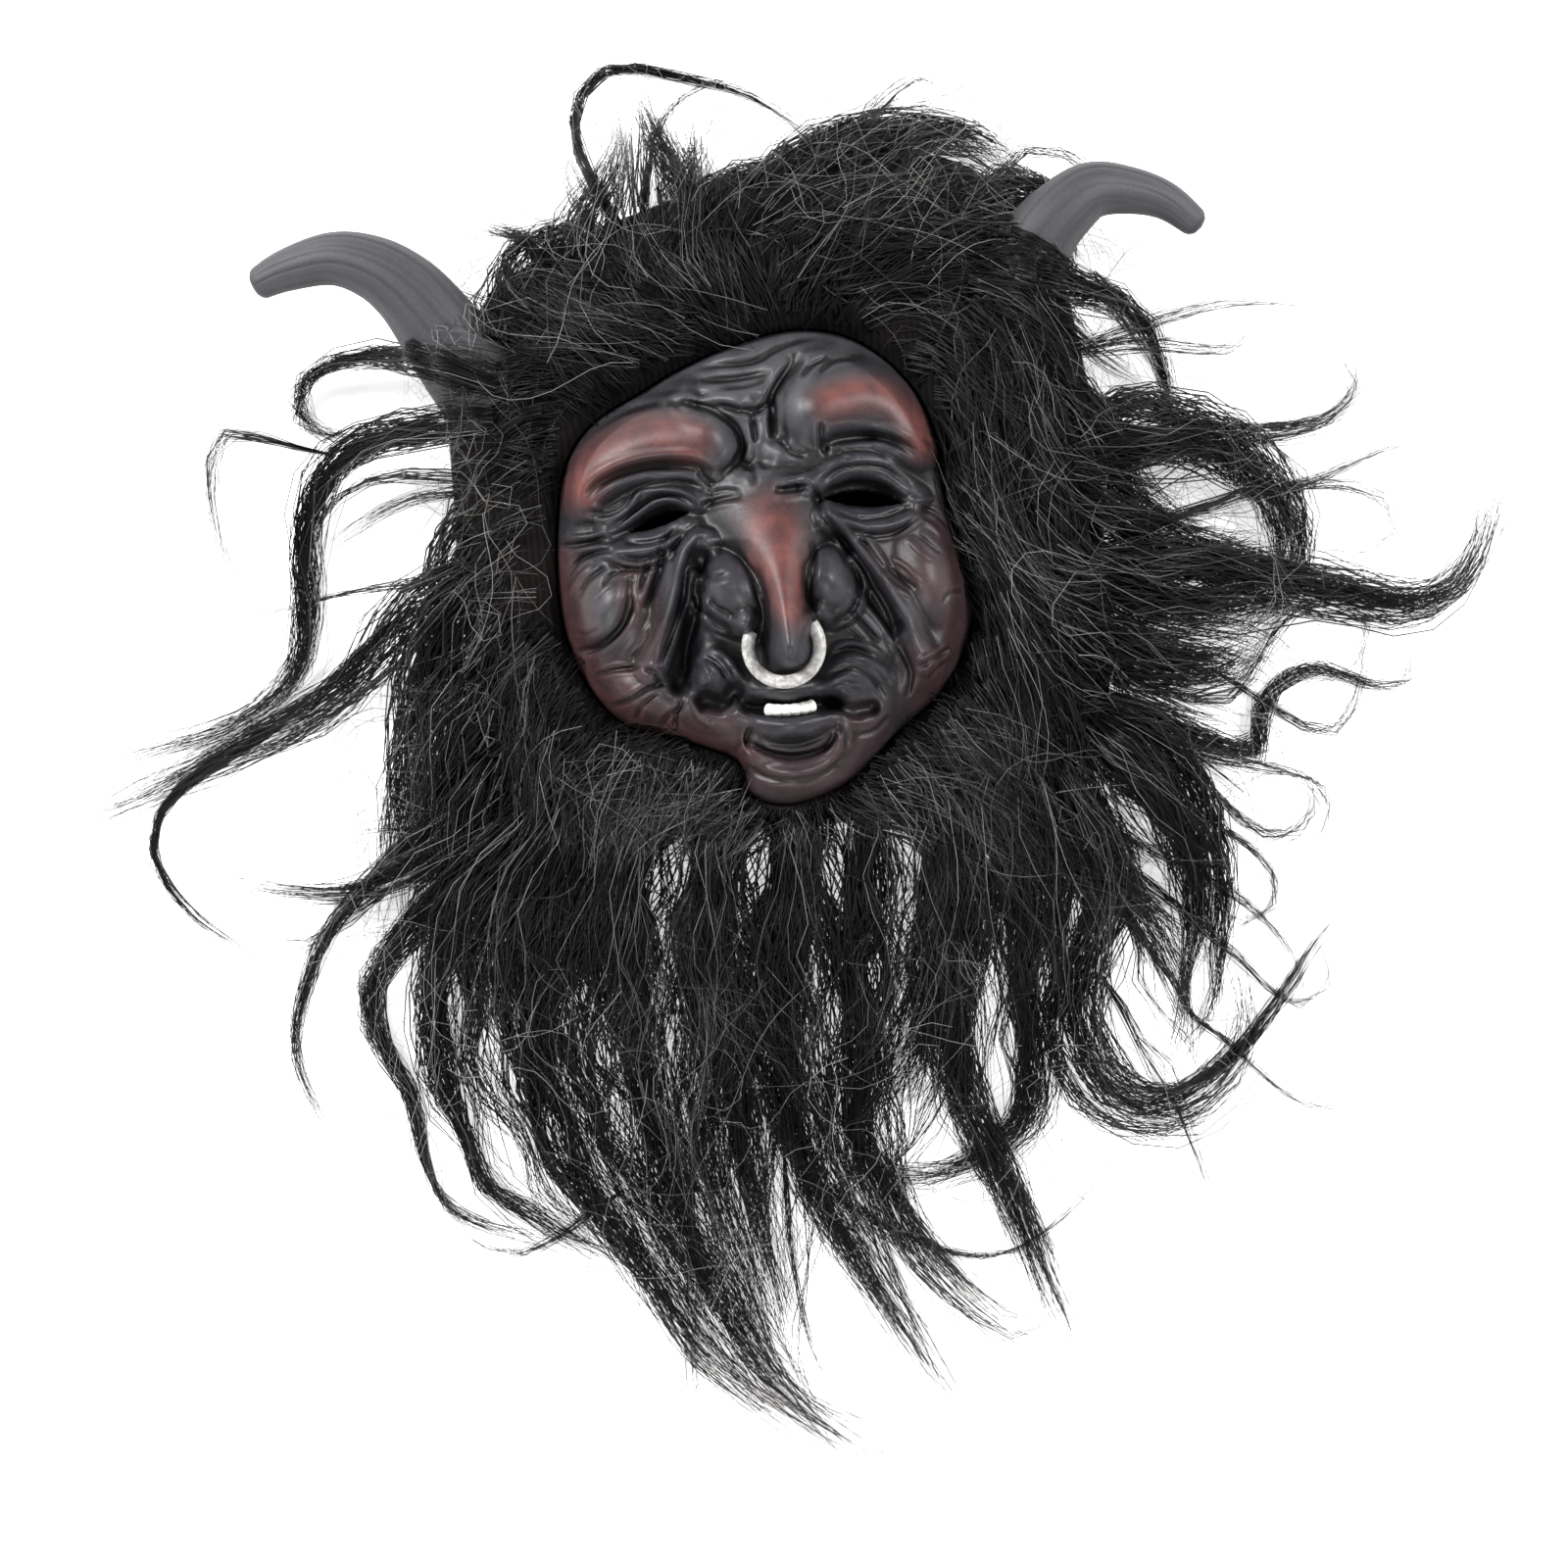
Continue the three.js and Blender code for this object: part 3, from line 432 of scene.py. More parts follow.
def finished(name, bm, finish):
    """A piece's object, in metres at the origin, riding on the mask's one body."""
    bmesh.ops.scale(bm, vec=(MM, MM, MM), verts=bm.verts)
    mesh = bpy.data.meshes.new(name)
    bm.to_mesh(mesh)
    bm.free()
    mesh.shade_smooth()
    mesh.materials.append(finish)
    piece = bpy.data.objects.new(name, mesh)
    bpy.context.scene.collection.objects.link(piece)
    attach(piece, "root")
    return piece


def srgb(code):
    """A colour for a shader, from its sRGB hex code."""
    parts = [int(code[i : i + 2], 16) / 255 for i in (1, 3, 5)]
    return (*(c / 12.92 if c <= 0.04045 else ((c + 0.055) / 1.055) ** 2.4 for c in parts), 1.0)


def add(tree, kind, links=(), **settings):
    """Adds a node. links fill its inputs, from a number, a colour or another node's output."""
    made = tree.nodes.new("ShaderNode" + kind)
    for name, value in settings.items():
        setattr(made, name, value)
    for name, value in dict(links).items():
        if isinstance(value, bpy.types.NodeSocket):
            tree.links.new(value, made.inputs[name])
        else:
            made.inputs[name].default_value = value
    return made


def blend(tree, share, first, second, how="MIX"):
    """Mixes two colours by a share from 0 to 1."""
    made = tree.nodes.new("ShaderNodeMix")
    made.data_type = "RGBA"
    made.blend_type = how
    for i, value in ((0, share), (6, first), (7, second)):
        if isinstance(value, bpy.types.NodeSocket):
            tree.links.new(value, made.inputs[i])
        else:
            made.inputs[i].default_value = value
    return made.outputs[2]


def material(name, settings):
    """A new material with some of its shader's inputs set: the material, its nodes and its shader."""
    made = bpy.data.materials.new(name)
    made.use_nodes = True
    shader = made.node_tree.nodes["Principled BSDF"]
    for key, value in settings.items():
        shader.inputs[key].default_value = value
    return made, made.node_tree, shader


# Natural latex, cast matt and airbrushed: a black wash left in the wrinkles, which also paints their shade,
# grey dry-brushed over the crests, which also paints their highlights, dull red sprayed on the brows, nose,
# cheeks and chin, and a thin satin coat over all of it.
latex, tree, shader = material("airbrushed_latex", {"IOR": 1.52, "Specular IOR Level": 0.38})
place = add(tree, "TexCoord").outputs["Object"]
crest_at = add(tree, "Attribute", attribute_name="crest").outputs["Fac"]
red_at = add(tree, "Attribute", attribute_name="red").outputs["Fac"]
grey_and_highlight_at = add(tree, "Attribute", attribute_name="grey").outputs["Fac"]
# Blotches of about 9 mm where the spray came unevenly, and 1.4 mm specks of the dry brush
blotch = add(tree, "TexNoise", {"Vector": place, "Scale": 110, "Detail": 3}).outputs["Fac"]
speck = add(tree, "TexNoise", {"Vector": place, "Scale": 700, "Detail": 4, "Roughness": 0.7}).outputs["Fac"]
# Dark in the wrinkles and lighter on the crests: the black wash and the dry brush, with painted shade and
# painted highlight in them
drybrush_and_highlight_share = add(tree, "MapRange", {"Value": crest_at, "From Min": 0.30, "From Max": 0.78}).outputs["Result"]
mottled = add(tree, "MapRange", {"Value": blotch, "From Min": 0.35, "From Max": 0.65}).outputs["Result"]
dark_grey = blend(tree, mottled, srgb("#1d1c20"), srgb("#29282e"))
light_grey = blend(tree, mottled, srgb("#323135"), srgb("#3f3e42"))
# Lighter grey where the dry brush went heaviest, and painted highlight on the cheeks, the nose and the brows
grey_and_painted_highlight = blend(tree, grey_and_highlight_at, dark_grey, light_grey)
# Black in the wrinkles as wash and painted shade, grey on the crests as dry brush and painted highlight
wash_and_painted_shade = blend(tree, drybrush_and_highlight_share, srgb("#0a0a0c"), grey_and_painted_highlight)
brick = blend(tree, mottled, srgb("#4c2a28"), srgb("#663833"))
dull_red = blend(tree, red_at, srgb("#3a2325"), brick)
# The red is dimmer in the wrinkles, which is painted shade
red_share = add(tree, "Math", {0: red_at, 1: add(tree, "MapRange", {
    "Value": drybrush_and_highlight_share, "To Min": 0.45, "To Max": 1.0}).outputs["Result"]}, operation="MULTIPLY")
painted = blend(tree, red_share.outputs[0], wash_and_painted_shade, dull_red)
dusted = blend(tree, add(tree, "MapRange", {
    "Value": speck, "From Min": 0.55, "From Max": 0.8, "To Max": 0.12}).outputs["Result"],
    painted, srgb("#6e6c6f"), "LIGHTEN")
tree.links.new(dusted, shader.inputs["Base Color"])
gloss = add(tree, "MapRange", {
    "Value": speck, "From Min": 0.3, "From Max": 0.7, "To Min": 0.42, "To Max": 0.54})
tree.links.new(gloss.outputs["Result"], shader.inputs["Roughness"])
# Skin grain of about 1.4 mm, and casting pits of 0.3 mm some 6 mm apart
grain = add(tree, "Bump", {"Height": speck, "Strength": 0.25, "Distance": 0.0004})
pits = add(tree, "TexVoronoi", {"Vector": place, "Scale": 170}).outputs["Distance"]
pit = add(tree, "MapRange", {"Value": pits, "From Min": 0.03, "From Max": 0.07}).outputs["Result"]
pitted = add(tree, "Bump", {
    "Height": pit, "Strength": 0.3, "Distance": 0.0003, "Normal": grain.outputs["Normal"]})
tree.links.new(pitted.outputs["Normal"], shader.inputs["Normal"])

# Where the red was sprayed, and where the grey dry brush went heaviest, which also paints the highlights on
# the cheeks, the wings of the nose and the brow pads: line, half width, strength
RED = [
    ([(-77, 47), (-72, 56), (-56, 64), (-40, 65), (-28, 60)], 15, 1.0),
    ([(32, 70), (46, 72), (58, 69), (67, 60), (70, 50)], 13, 1.0),
    ([(-1, 25), (4, 20), (3, 10)], 18, 0.9), ([(0, 14), (3, 0), (4, -10)], 13, 0.7),
    ([(4, -4), (5, -21)], 9, 0.7),
    ([(-92, 14), (-90, -20), (-80, -42), (-64, -54), (-40, -66), (-30, -68)], 20, 0.55),
    ([(-60, 4), (-58, -14), (-62, -30)], 14, 0.4),
    ([(78, 10), (80, -14), (72, -38), (60, -54)], 22, 0.4),
    ([(52, 4), (60, -10)], 14, 0.35), ([(-14, -84), (0, -90), (14, -84), (30, -68)], 18, 0.36),
]
GREY_AND_HIGHLIGHT = [
    ([(-40, 88), (-8, 88), (30, 92), (54, 84)], 30, 1.0), ([(2, 74), (2, 46)], 24, 0.8),
    ([(-70, 62), (-40, 70), (-16, 62)], 20, 0.7), ([(22, 72), (46, 76), (66, 66)], 20, 0.7),
    ([(-71, -2), (-73, -8)], 17, 0.9), ([(64, -16), (60, -24)], 14, 0.5),
    ([(-22, -4), (-15, -10)], 11, 0.5),
    ([(28, -4), (27, -10)], 9, 0.3),
]


def sprayed(x, y, strokes):
    """How much of a paint lies at each place, from 0 to 1."""
    return np.clip(sum(stroke(x, y, line, width, share) for line, width, share in strokes), 0, 1)


for name, values in (("crest", crest.ravel()), ("red", sprayed(x, y, RED)), ("grey", sprayed(x, y, GREY_AND_HIGHLIGHT))):
    layer = bm.verts.layers.float.new(name)
    for vert in bm.verts[:shell]:
        vert[layer] = values[vert[spot]]
    # The back of the casting was never painted
    for vert in bm.verts[shell:]:
        vert[layer] = 0.2
face = finished("latex_face", bm, latex)
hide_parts("face")

# The teeth
# One row of small blunt teeth, cast with the face and painted white along the mouth.


def sweep(bm, line, sides, size):
    """Wraps a grid round a line and closes it. size(along, angle) gives the two half widths."""
    line = np.asarray(line, float)
    ahead = np.gradient(line, axis=0)
    ahead /= np.linalg.norm(ahead, axis=1)[:, None]
    flank = np.cross(ahead, (0, 0, 1))
    flank /= np.linalg.norm(flank, axis=1)[:, None]
    above = np.cross(flank, ahead)
    steps = len(line) - 1
    verts = bmesh.ops.create_grid(bm, x_segments=sides, y_segments=steps, size=1)["verts"]
    for vert in verts:
        angle = math.pi * vert.co.x
        along = (vert.co.y + 1) / 2
        row = round(along * steps)
        wide, thick = size(along, angle)
        vert.co = line[row] + wide * math.cos(angle) * flank[row] + thick * math.sin(angle) * above[row]
    bmesh.ops.remove_doubles(bm, verts=verts, dist=0.002)
    bmesh.ops.recalc_face_normals(bm, faces=bm.faces)


def rounded_ends(along, share):
    """1 along the middle of a bar, and down to 0 in a round at either end."""
    return math.sqrt(max(0.0, 1 - max(0.0, 1 - min(along, 1 - along) / share) ** 2))


enamel, tree, shader = material("white_acrylic_paint", {"Roughness": 0.45})
place = add(tree, "TexCoord").outputs["Object"]
# Brushed on thinly, so the dark latex shows through in streaks of about 1 mm
streak = add(tree, "TexNoise", {"Vector": place, "Scale": 900, "Detail": 3}).outputs["Fac"]
thin = add(tree, "MapRange", {"Value": streak, "From Min": 0.55, "From Max": 0.7}).outputs["Result"]
tree.links.new(blend(tree, thin, srgb("#e9e8e2"), srgb("#a9a8a4")), shader.inputs["Base Color"])

TEETH = 6
bm = bmesh.new()
t = np.linspace(0, 1, 61)[:, None]
jaw = (1 - t) ** 2 * (-10.8, -55.4, 88.5) + 2 * t * (1 - t) * (0.0, -58.6, 91.0) + t**2 * (10.8, -56.2, 88.5)
sweep(bm, jaw, 20, lambda along, angle: [
    half * rounded_ends(along, 0.06) * (0.9 + 0.1 * abs(math.sin(math.pi * TEETH * along)) ** 0.6)
    for half in (2.7, 4.6)])
finished("teeth", bm, enamel)

# The horns
# Two horns of stuffed, matt grey foam latex. Shallow grooves were drawn along them from root to tip, and
# their roots sit in sockets in the hood, deep in the fur.

HORN_LINES = {
    "horn_left": [(-112, 92, 42), (-124, 113, 47), (-133, 130, 51), (-143, 145, 54), (-156, 156, 56),
                  (-173, 162, 56), (-194, 160, 53), (-210, 155, 50)],
    "horn_right": [(112, 104, 42), (122, 121, 46), (132, 134, 49), (143, 144, 51), (157, 152, 51),
                   (173, 151, 48), (190, 145, 43), (205, 132, 38)],
}
HORN_GIRTH = {"horn_left": 42, "horn_right": 38}
HORN_GROOVES = 17

horn_skin, tree, shader = material("matt_foam_latex", {"Roughness": 0.62})
place = add(tree, "TexCoord").outputs["Object"]
cloud = add(tree, "TexNoise", {"Vector": place, "Scale": 60, "Detail": 4}).outputs["Fac"]
# Chalky dust of about 1 mm, rubbed thin on the ridges between the grooves
dust = add(tree, "TexNoise", {"Vector": place, "Scale": 900, "Detail": 4, "Roughness": 0.7}).outputs["Fac"]
groove_shade_at = add(tree, "Attribute", attribute_name="groove").outputs["Fac"]
tip_at = add(tree, "Attribute", attribute_name="tip").outputs["Fac"]
even = blend(tree, cloud, srgb("#302f33"), srgb("#3e3d42"))
lighter = blend(tree, tip_at, srgb("#2a292d"), even)
# The grooves are painted darker, as painted shade in them
groove_shaded = blend(tree, groove_shade_at, lighter, srgb("#212024"))
tree.links.new(blend(tree, add(tree, "MapRange", {
    "Value": dust, "From Min": 0.5, "From Max": 0.8, "To Max": 0.4}).outputs["Result"],
    groove_shaded, srgb("#545357")), shader.inputs["Base Color"])
powder = add(tree, "Bump", {"Height": dust, "Strength": 0.2, "Distance": 0.0003})
tree.links.new(powder.outputs["Normal"], shader.inputs["Normal"])


def horn_taper(along):
    """The share of its root's thickness that a horn still has, from its root at 0 to its tip at 1."""
    return 1 - 0.68 * along**1.25


grooves = np.random.default_rng(5)
for name, points in HORN_LINES.items():
    line = curve_through(points, 14)
    # Each groove's angle and depth, and where it begins and ends
    marks = [(math.pi * (2 * (k + grooves.uniform(-0.25, 0.25)) / HORN_GROOVES - 1),
              grooves.uniform(0.1, 0.4), grooves.uniform(0.05, 0.4), grooves.uniform(0.75, 1.05))
             for k in range(HORN_GROOVES)]

    def groove(along, angle):
        """How deep the drawn grooves are at a place, in mm."""
        deep = 0.0
        for where, depth, first, last in marks:
            off = (angle - where - 0.25 * math.sin(3 * along) + math.pi) % (2 * math.pi) - math.pi
            if first < along < last:
                fade = min(1, (along - first) * 10, (last - along) * 10)
                deep += depth * fade * math.exp(-((off / 0.07) ** 2))
        return deep

    def girth(along, angle):
        """Half the horn's width and thickness at a place. Its grooves fade out where it gets thin."""
        taper = horn_taper(along) * rounded_ends(max(along, 0.5), 0.035)
        radius = HORN_GIRTH[name] / 2 * taper
        return [max(0.0, radius - groove(along, angle) * min(1, radius / 8))] * 2 if along > 0 else [0.0, 0.0]

    bm = bmesh.new()
    sweep(bm, line, 120, girth)
    groove_layer = bm.verts.layers.float.new("groove")
    tip_layer = bm.verts.layers.float.new("tip")
    for vert in bm.verts:
        away = np.linalg.norm(line - vert.co, axis=1)
        row = int(away.argmin())
        along = row / (len(line) - 1)
        vert[tip_layer] = min(1, along * 1.6)
        sunk = HORN_GIRTH[name] / 2 * horn_taper(along) - away[row]
        vert[groove_layer] = min(1.0, max(0.0, sunk / 0.5))
    horn = finished(name + "_grooved", bm, horn_skin)
    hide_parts(name)

# The nose ring
# A bull's ring of thick hard plastic, open behind the nostrils that its two ends are pushed into, and
# brushed with pale grey paint.

RING_RADIUS = 15.0
RING_WIRE = 5.6
RING_CENTRE = (0.4, -30.6, 106.0)
RING_START, RING_ARC = 148, 244  # degrees

pale, tree, shader = material("painted_hard_plastic", {"Roughness": 0.33})
place = add(tree, "TexCoord").outputs["Object"]
# Brush marks of about 2.4 mm, lighter where the paint lies thick
brushed = add(tree, "TexNoise", {
    "Vector": place, "Scale": 420, "Detail": 5, "Roughness": 0.65}).outputs["Fac"]
thick = add(tree, "MapRange", {"Value": brushed, "From Min": 0.35, "From Max": 0.65}).outputs["Result"]
tree.links.new(blend(tree, thick, srgb("#83817f"), srgb("#c4c2bf")), shader.inputs["Base Color"])
ridges = add(tree, "Bump", {"Height": brushed, "Strength": 0.35, "Distance": 0.0004})
tree.links.new(ridges.outputs["Normal"], shader.inputs["Normal"])

bm = bmesh.new()
start = math.radians(RING_START)
wire = bmesh.ops.create_circle(bm, segments=24, radius=RING_WIRE / 2)
bmesh.ops.rotate(bm, cent=(0, 0, 0), matrix=Vector((0, 0, 1)).rotation_difference(
    Vector((-math.sin(start), math.cos(start), 0))).to_matrix(), verts=wire["verts"])
bmesh.ops.translate(bm, vec=Vector(RING_CENTRE) + RING_RADIUS * Vector((math.cos(start), math.sin(start), 0)),
                    verts=wire["verts"])
bmesh.ops.spin(bm, geom=list(bm.verts) + list(bm.edges), cent=RING_CENTRE, axis=(0, 0, 1),
               angle=math.radians(RING_ARC), steps=64, use_merge=False, use_duplicate=False)
bmesh.ops.holes_fill(bm, edges=[e for e in bm.edges if e.is_boundary], sides=0)
bmesh.ops.recalc_face_normals(bm, faces=bm.faces)
ring = finished("nose_ring_painted", bm, pale)
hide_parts("nose_ring")

# The hood
# A flat bag of black knitted backing, brown-black inside. The face is glued into the hole in its front,
# the neck comes out below the chin, and the wefts of the fur are sewn on all round.

hood_radius = outline([
    (0, 186), (50, 193), (95, 187), (126, 168), (145, 135), (152, 90), (154, 40), (151, -10),
    (148, -55), (133, -90), (95, -104), (45, -108), (-5, -110), (-55, -107), (-98, -102),
    (-128, -85), (-141, -45), (-142, 5), (-140, 55), (-136, 100), (-118, 142), (-82, 165), (-40, 177),
])
# How far out to the face's edge, how far on from there to the hood's, and the height
HOOD_PROFILE = [
    (0, 0, 1), (0.6, 0, 1), (1, 0.5, 1), (1, 0.86, 2), (1, 0.95, 14), (1, 0.9, 32), (1, 0.74, 51),
    (1, 0.5, 63),
    (1, 0.26, 69), (1, 0.1, 71), (1, 0.015, 68), (1, 0.012, 58), (1, 0.28, 53), (1, 0.46, 42), (1, 0.5, 22),
    (1, 0.42, 7), (0.6, 0, 7), (0, 0, 7),
]

backing, tree, shader = material("knitted_polyester_backing", {"Roughness": 0.9, "Specular IOR Level": 0.1})
place = add(tree, "TexCoord").outputs["Object"]
# Courses of loops 3 mm apart, drawn coarser than real ones
courses = add(tree, "TexWave", {"Vector": place, "Scale": 105, "Distortion": 1.5, "Detail": 2}).outputs["Fac"]
tree.links.new(blend(tree, courses, srgb("#070606"), srgb("#110e0c")), shader.inputs["Base Color"])
loops = add(tree, "Bump", {"Height": courses, "Strength": 0.5, "Distance": 0.0006})
tree.links.new(loops.outputs["Normal"], shader.inputs["Normal"])

bm = bmesh.new()
chain = [bm.verts.new((to_face + to_hood, 0, row)) for row, (to_face, to_hood, _) in enumerate(HOOD_PROFILE)]
seams = [bm.edges.new(pair) for pair in zip(chain, chain[1:])]
bmesh.ops.spin(bm, geom=chain + seams, cent=(0, 0, 0), axis=(0, 0, 1), angle=2 * math.pi, steps=144,
               use_merge=True, use_duplicate=False)
bmesh.ops.remove_doubles(bm, verts=bm.verts, dist=0.0001)
for vert in bm.verts:
    to_face, to_hood, level = HOOD_PROFILE[round(vert.co.z)]
    angle = math.atan2(vert.co.y, vert.co.x)
    edge_at = float(face_radius(angle))
    radius = to_face * edge_at + to_hood * (float(hood_radius(angle)) - edge_at)
    vert.co = (FACE_CENTRE[0] + radius * math.cos(angle), FACE_CENTRE[1] + radius * math.sin(angle), level)
bmesh.ops.recalc_face_normals(bm, faces=bm.faces)
hood = finished("hood_backing", bm, backing)

# The neck opening: an oval through the lower wall
NECK_HALF_WIDTHS = (62, 20, 1)
NECK_START, NECK_LENGTH = (-4, -130, 29), 80
bm = bmesh.new()
oval = bmesh.ops.create_circle(bm, cap_ends=True, segments=64, radius=1)["verts"]
bmesh.ops.scale(bm, vec=NECK_HALF_WIDTHS, verts=oval)
bmesh.ops.rotate(bm, cent=(0, 0, 0), verts=oval,
                 matrix=Vector((0, 0, 1)).rotation_difference(Vector((0, 1, 0))).to_matrix())
bmesh.ops.translate(bm, vec=NECK_START, verts=oval)
through = bmesh.ops.extrude_face_region(bm, geom=list(bm.faces), use_keep_orig=True)["geom"]
bmesh.ops.translate(bm, vec=(0, NECK_LENGTH, 0), verts=[
    v for v in through if isinstance(v, bmesh.types.BMVert)])
bmesh.ops.recalc_face_normals(bm, faces=bm.faces)
cutter = finished("neck_oval", bm, backing)
cut = hood.modifiers.new("neck", "BOOLEAN")
cut.object = cutter
cut.operation = "DIFFERENCE"
bpy.context.view_layer.update()
holed = bpy.data.meshes.new_from_object(hood.evaluated_get(bpy.context.evaluated_depsgraph_get()))
hood.modifiers.clear()
hood.data = holed
bpy.data.objects.remove(cutter)

# The fur
# Black synthetic fibres up to 300 mm long, sewn on in wefts, with a loose wave set in by heat. They fall
# away from the face over the hood, gather in locks with thin tips and lie spread on the ground.

fur_dice = np.random.default_rng(11)
# How far the thick of the fur reaches, clockwise from the crown
fur_radius = outline([
    (-10, 206), (20, 192), (48, 204), (76, 206), (100, 201), (121, 191), (138, 174), (158, 130), (176, 100),
    (184, 66), (200, 46), (222, 24), (240, 0), (246, -32), (222, -52), (206, -98), (188, -124), (184, -160),
    (176, -205), (158, -244), (128, -250), (100, -262), (92, -300), (70, -318), (30, -320), (0, -334),
    (-20, -350), (-50, -352), (-78, -322), (-100, -300), (-138, -278), (-168, -250), (-186, -205),
    (-198, -150), (-202, -100), (-194, -50), (-164, -14), (-138, 20), (-130, 60), (-132, 100), (-122, 130),
    (-108, 160), (-74, 170), (-62, 196), (-38, 222),
])
# Places where the fur parts and the ground shows: centre and half widths
PARTINGS = [
    ((-66, -122), (15, 12)), ((-24, -125), (12, 11)), ((9, -131), (8, 5)), ((30, -137), (15, 11)),
    ((43, -128), (8, 6)), ((-16, -149), (8, 4)), ((22, -177), (7, 16)), ((3, -193), (6, 12)),
    ((114, -163), (8, 12)), ((135, -182), (9, 11)), ((98, -188), (9, 11)), ((80, -213), (7, 12)),
    ((140, -212), (7, 14)), ((168, -203), (9, 18)), ((19, -247), (15, 13)), ((110, -238), (8, 6)),
    ((148, -238), (12, 6)), ((-66, -280), (6, 26)), ((-165, -168), (8, 18)), ((-152, -192), (9, 15)),
    ((-138, -178), (5, 12)), ((-152, -238), (16, 24)), ((-176, -238), (9, 26)), ((-127, -232), (8, 18)),
    ((-100, -198), (14, 8)), ((-98, -228), (11, 19)), ((-190, -170), (6, 22)), ((-108, -171), (11, 5)),
    ((-190, -125), (10, 7)), ((137, 26), (8, 7)), ((143, 5), (6, 9)), ((155, 20), (5, 6)),
    ((168, 54), (11, 17)),
    ((158, 98), (7, 10)), ((173, 1), (7, 11)), ((184, -22), (13, 7)), ((214, 10), (6, 10)),
    ((48, 177), (8, 7)),
    ((-94, 152), (8, 16)), ((8, 203), (16, 9)), ((150, -150), (5, 9)),
]
# The way the fur lies, from the face outward
LIES = [
    # Over the crown
    [(-12, 104), (-22, 130), (-30, 165), (-36, 205)], [(8, 106), (-4, 130), (-14, 160), (-10, 185)],
    [(20, 106), (30, 128), (55, 146), (85, 152), (112, 146)],
    [(-20, 104), (-40, 122), (-58, 138), (-70, 160)],
    [(-44, 96), (-66, 110), (-92, 116), (-112, 132)], [(-30, 150), (0, 158), (34, 172), (70, 192), (96, 200)],
    [(40, 98), (62, 116), (92, 124), (118, 118), (140, 96)],
    [(50, 92), (76, 104), (98, 96), (108, 70), (110, 40)],
    [(60, 84), (86, 88), (100, 60), (102, 20), (98, -20)], [(100, 150), (130, 150), (150, 132), (160, 104)],
    [(60, 150), (90, 175), (112, 180), (128, 165)],
    # Left of the face
    [(-62, 88), (-90, 100), (-120, 104), (-155, 114), (-185, 112)],
    [(-74, 74), (-100, 84), (-128, 82), (-160, 84), (-188, 72)],
    [(-84, 58), (-106, 60), (-130, 52), (-160, 46), (-190, 40)],
    [(-90, 36), (-112, 32), (-140, 12), (-175, -10), (-215, -34)],
    [(-92, 12), (-112, 0), (-136, -26), (-165, -55)],
    [(-92, -12), (-112, -34), (-132, -70), (-146, -110), (-158, -150)],
    [(-150, -40), (-190, -64), (-225, -92), (-265, -102)],
    [(-150, -90), (-178, -130), (-192, -175), (-192, -220)],
    # Below the chin
    [(-84, -38), (-104, -66), (-124, -110), (-140, -160), (-146, -210), (-130, -262)],
    [(-60, -60), (-84, -84), (-104, -120), (-118, -170), (-118, -220), (-100, -275), (-78, -315)],
    [(-34, -74), (-52, -96), (-78, -130), (-92, -180), (-86, -240), (-66, -300), (-40, -350), (0, -388)],
    [(-18, -92), (-30, -116), (-42, -160), (-48, -220), (-46, -280), (-40, -330), (-20, -366)],
    [(-2, -98), (-4, -130), (-12, -180), (-14, -240), (-20, -290), (-34, -330)],
    [(14, -96), (22, -130), (16, -180), (4, -230), (-2, -270), (24, -310), (56, -345)],
    [(26, -88), (48, -110), (62, -160), (50, -220), (20, -262), (-4, -270)],
    [(40, -76), (72, -104), (104, -132), (140, -160), (164, -196), (172, -230)],
    [(60, -62), (84, -96), (92, -150), (84, -210), (72, -250), (76, -300), (88, -350)],
    [(76, -44), (100, -80), (122, -120), (134, -160), (128, -210), (140, -245)],
    # Right of the face
    [(82, -16), (100, -40), (112, -80), (128, -120), (150, -160), (172, -205)],
    [(86, 10), (102, -10), (112, -50), (120, -90)],
    [(110, 60), (122, 20), (136, -10), (168, -24), (205, -30)],
    [(112, 96), (128, 60), (140, 30), (170, 10), (215, 10), (232, -12), (220, -34)],
    [(130, 110), (160, 100), (178, 76), (186, 44)], [(140, 40), (185, 42), (220, 40), (262, 52)],
    [(130, 0), (180, -20), (240, -32), (290, -40), (322, -10)], [(130, -50), (165, -74), (200, -98)],
]


def waves(x, y, size, seed):
    """A smooth swell from about -1 to 1, with crests about size apart."""
    dice = np.random.default_rng(seed)
    total = 0.0
    for _ in range(6):
        heading, pitch = dice.uniform(0, 2 * math.pi), size * dice.uniform(0.7, 1.8)
        total = total + np.sin(2 * math.pi * (x * math.cos(heading) + y * math.sin(heading)) / pitch
                               + dice.uniform(0, 2 * math.pi))
    return total / 2.6


def seen_from_face(x, y):
    """Angle and distance from the middle of the face."""
    x, y = x - FACE_CENTRE[0], y - FACE_CENTRE[1]
    return np.arctan2(y, x), np.hypot(x, y)


def below_chin(angle):
    """1 below the chin and 0 beside it."""
    return np.clip((-np.sin(angle) - 0.55) / 0.3, 0, 1)


def crosswise(path):
    """The way straight across a flat path, at each of its points."""
    ahead = np.gradient(path, axis=0)
    return np.column_stack([-ahead[:, 1], ahead[:, 0]]) / np.maximum(np.hypot(*ahead.T), 1e-6)[:, None]


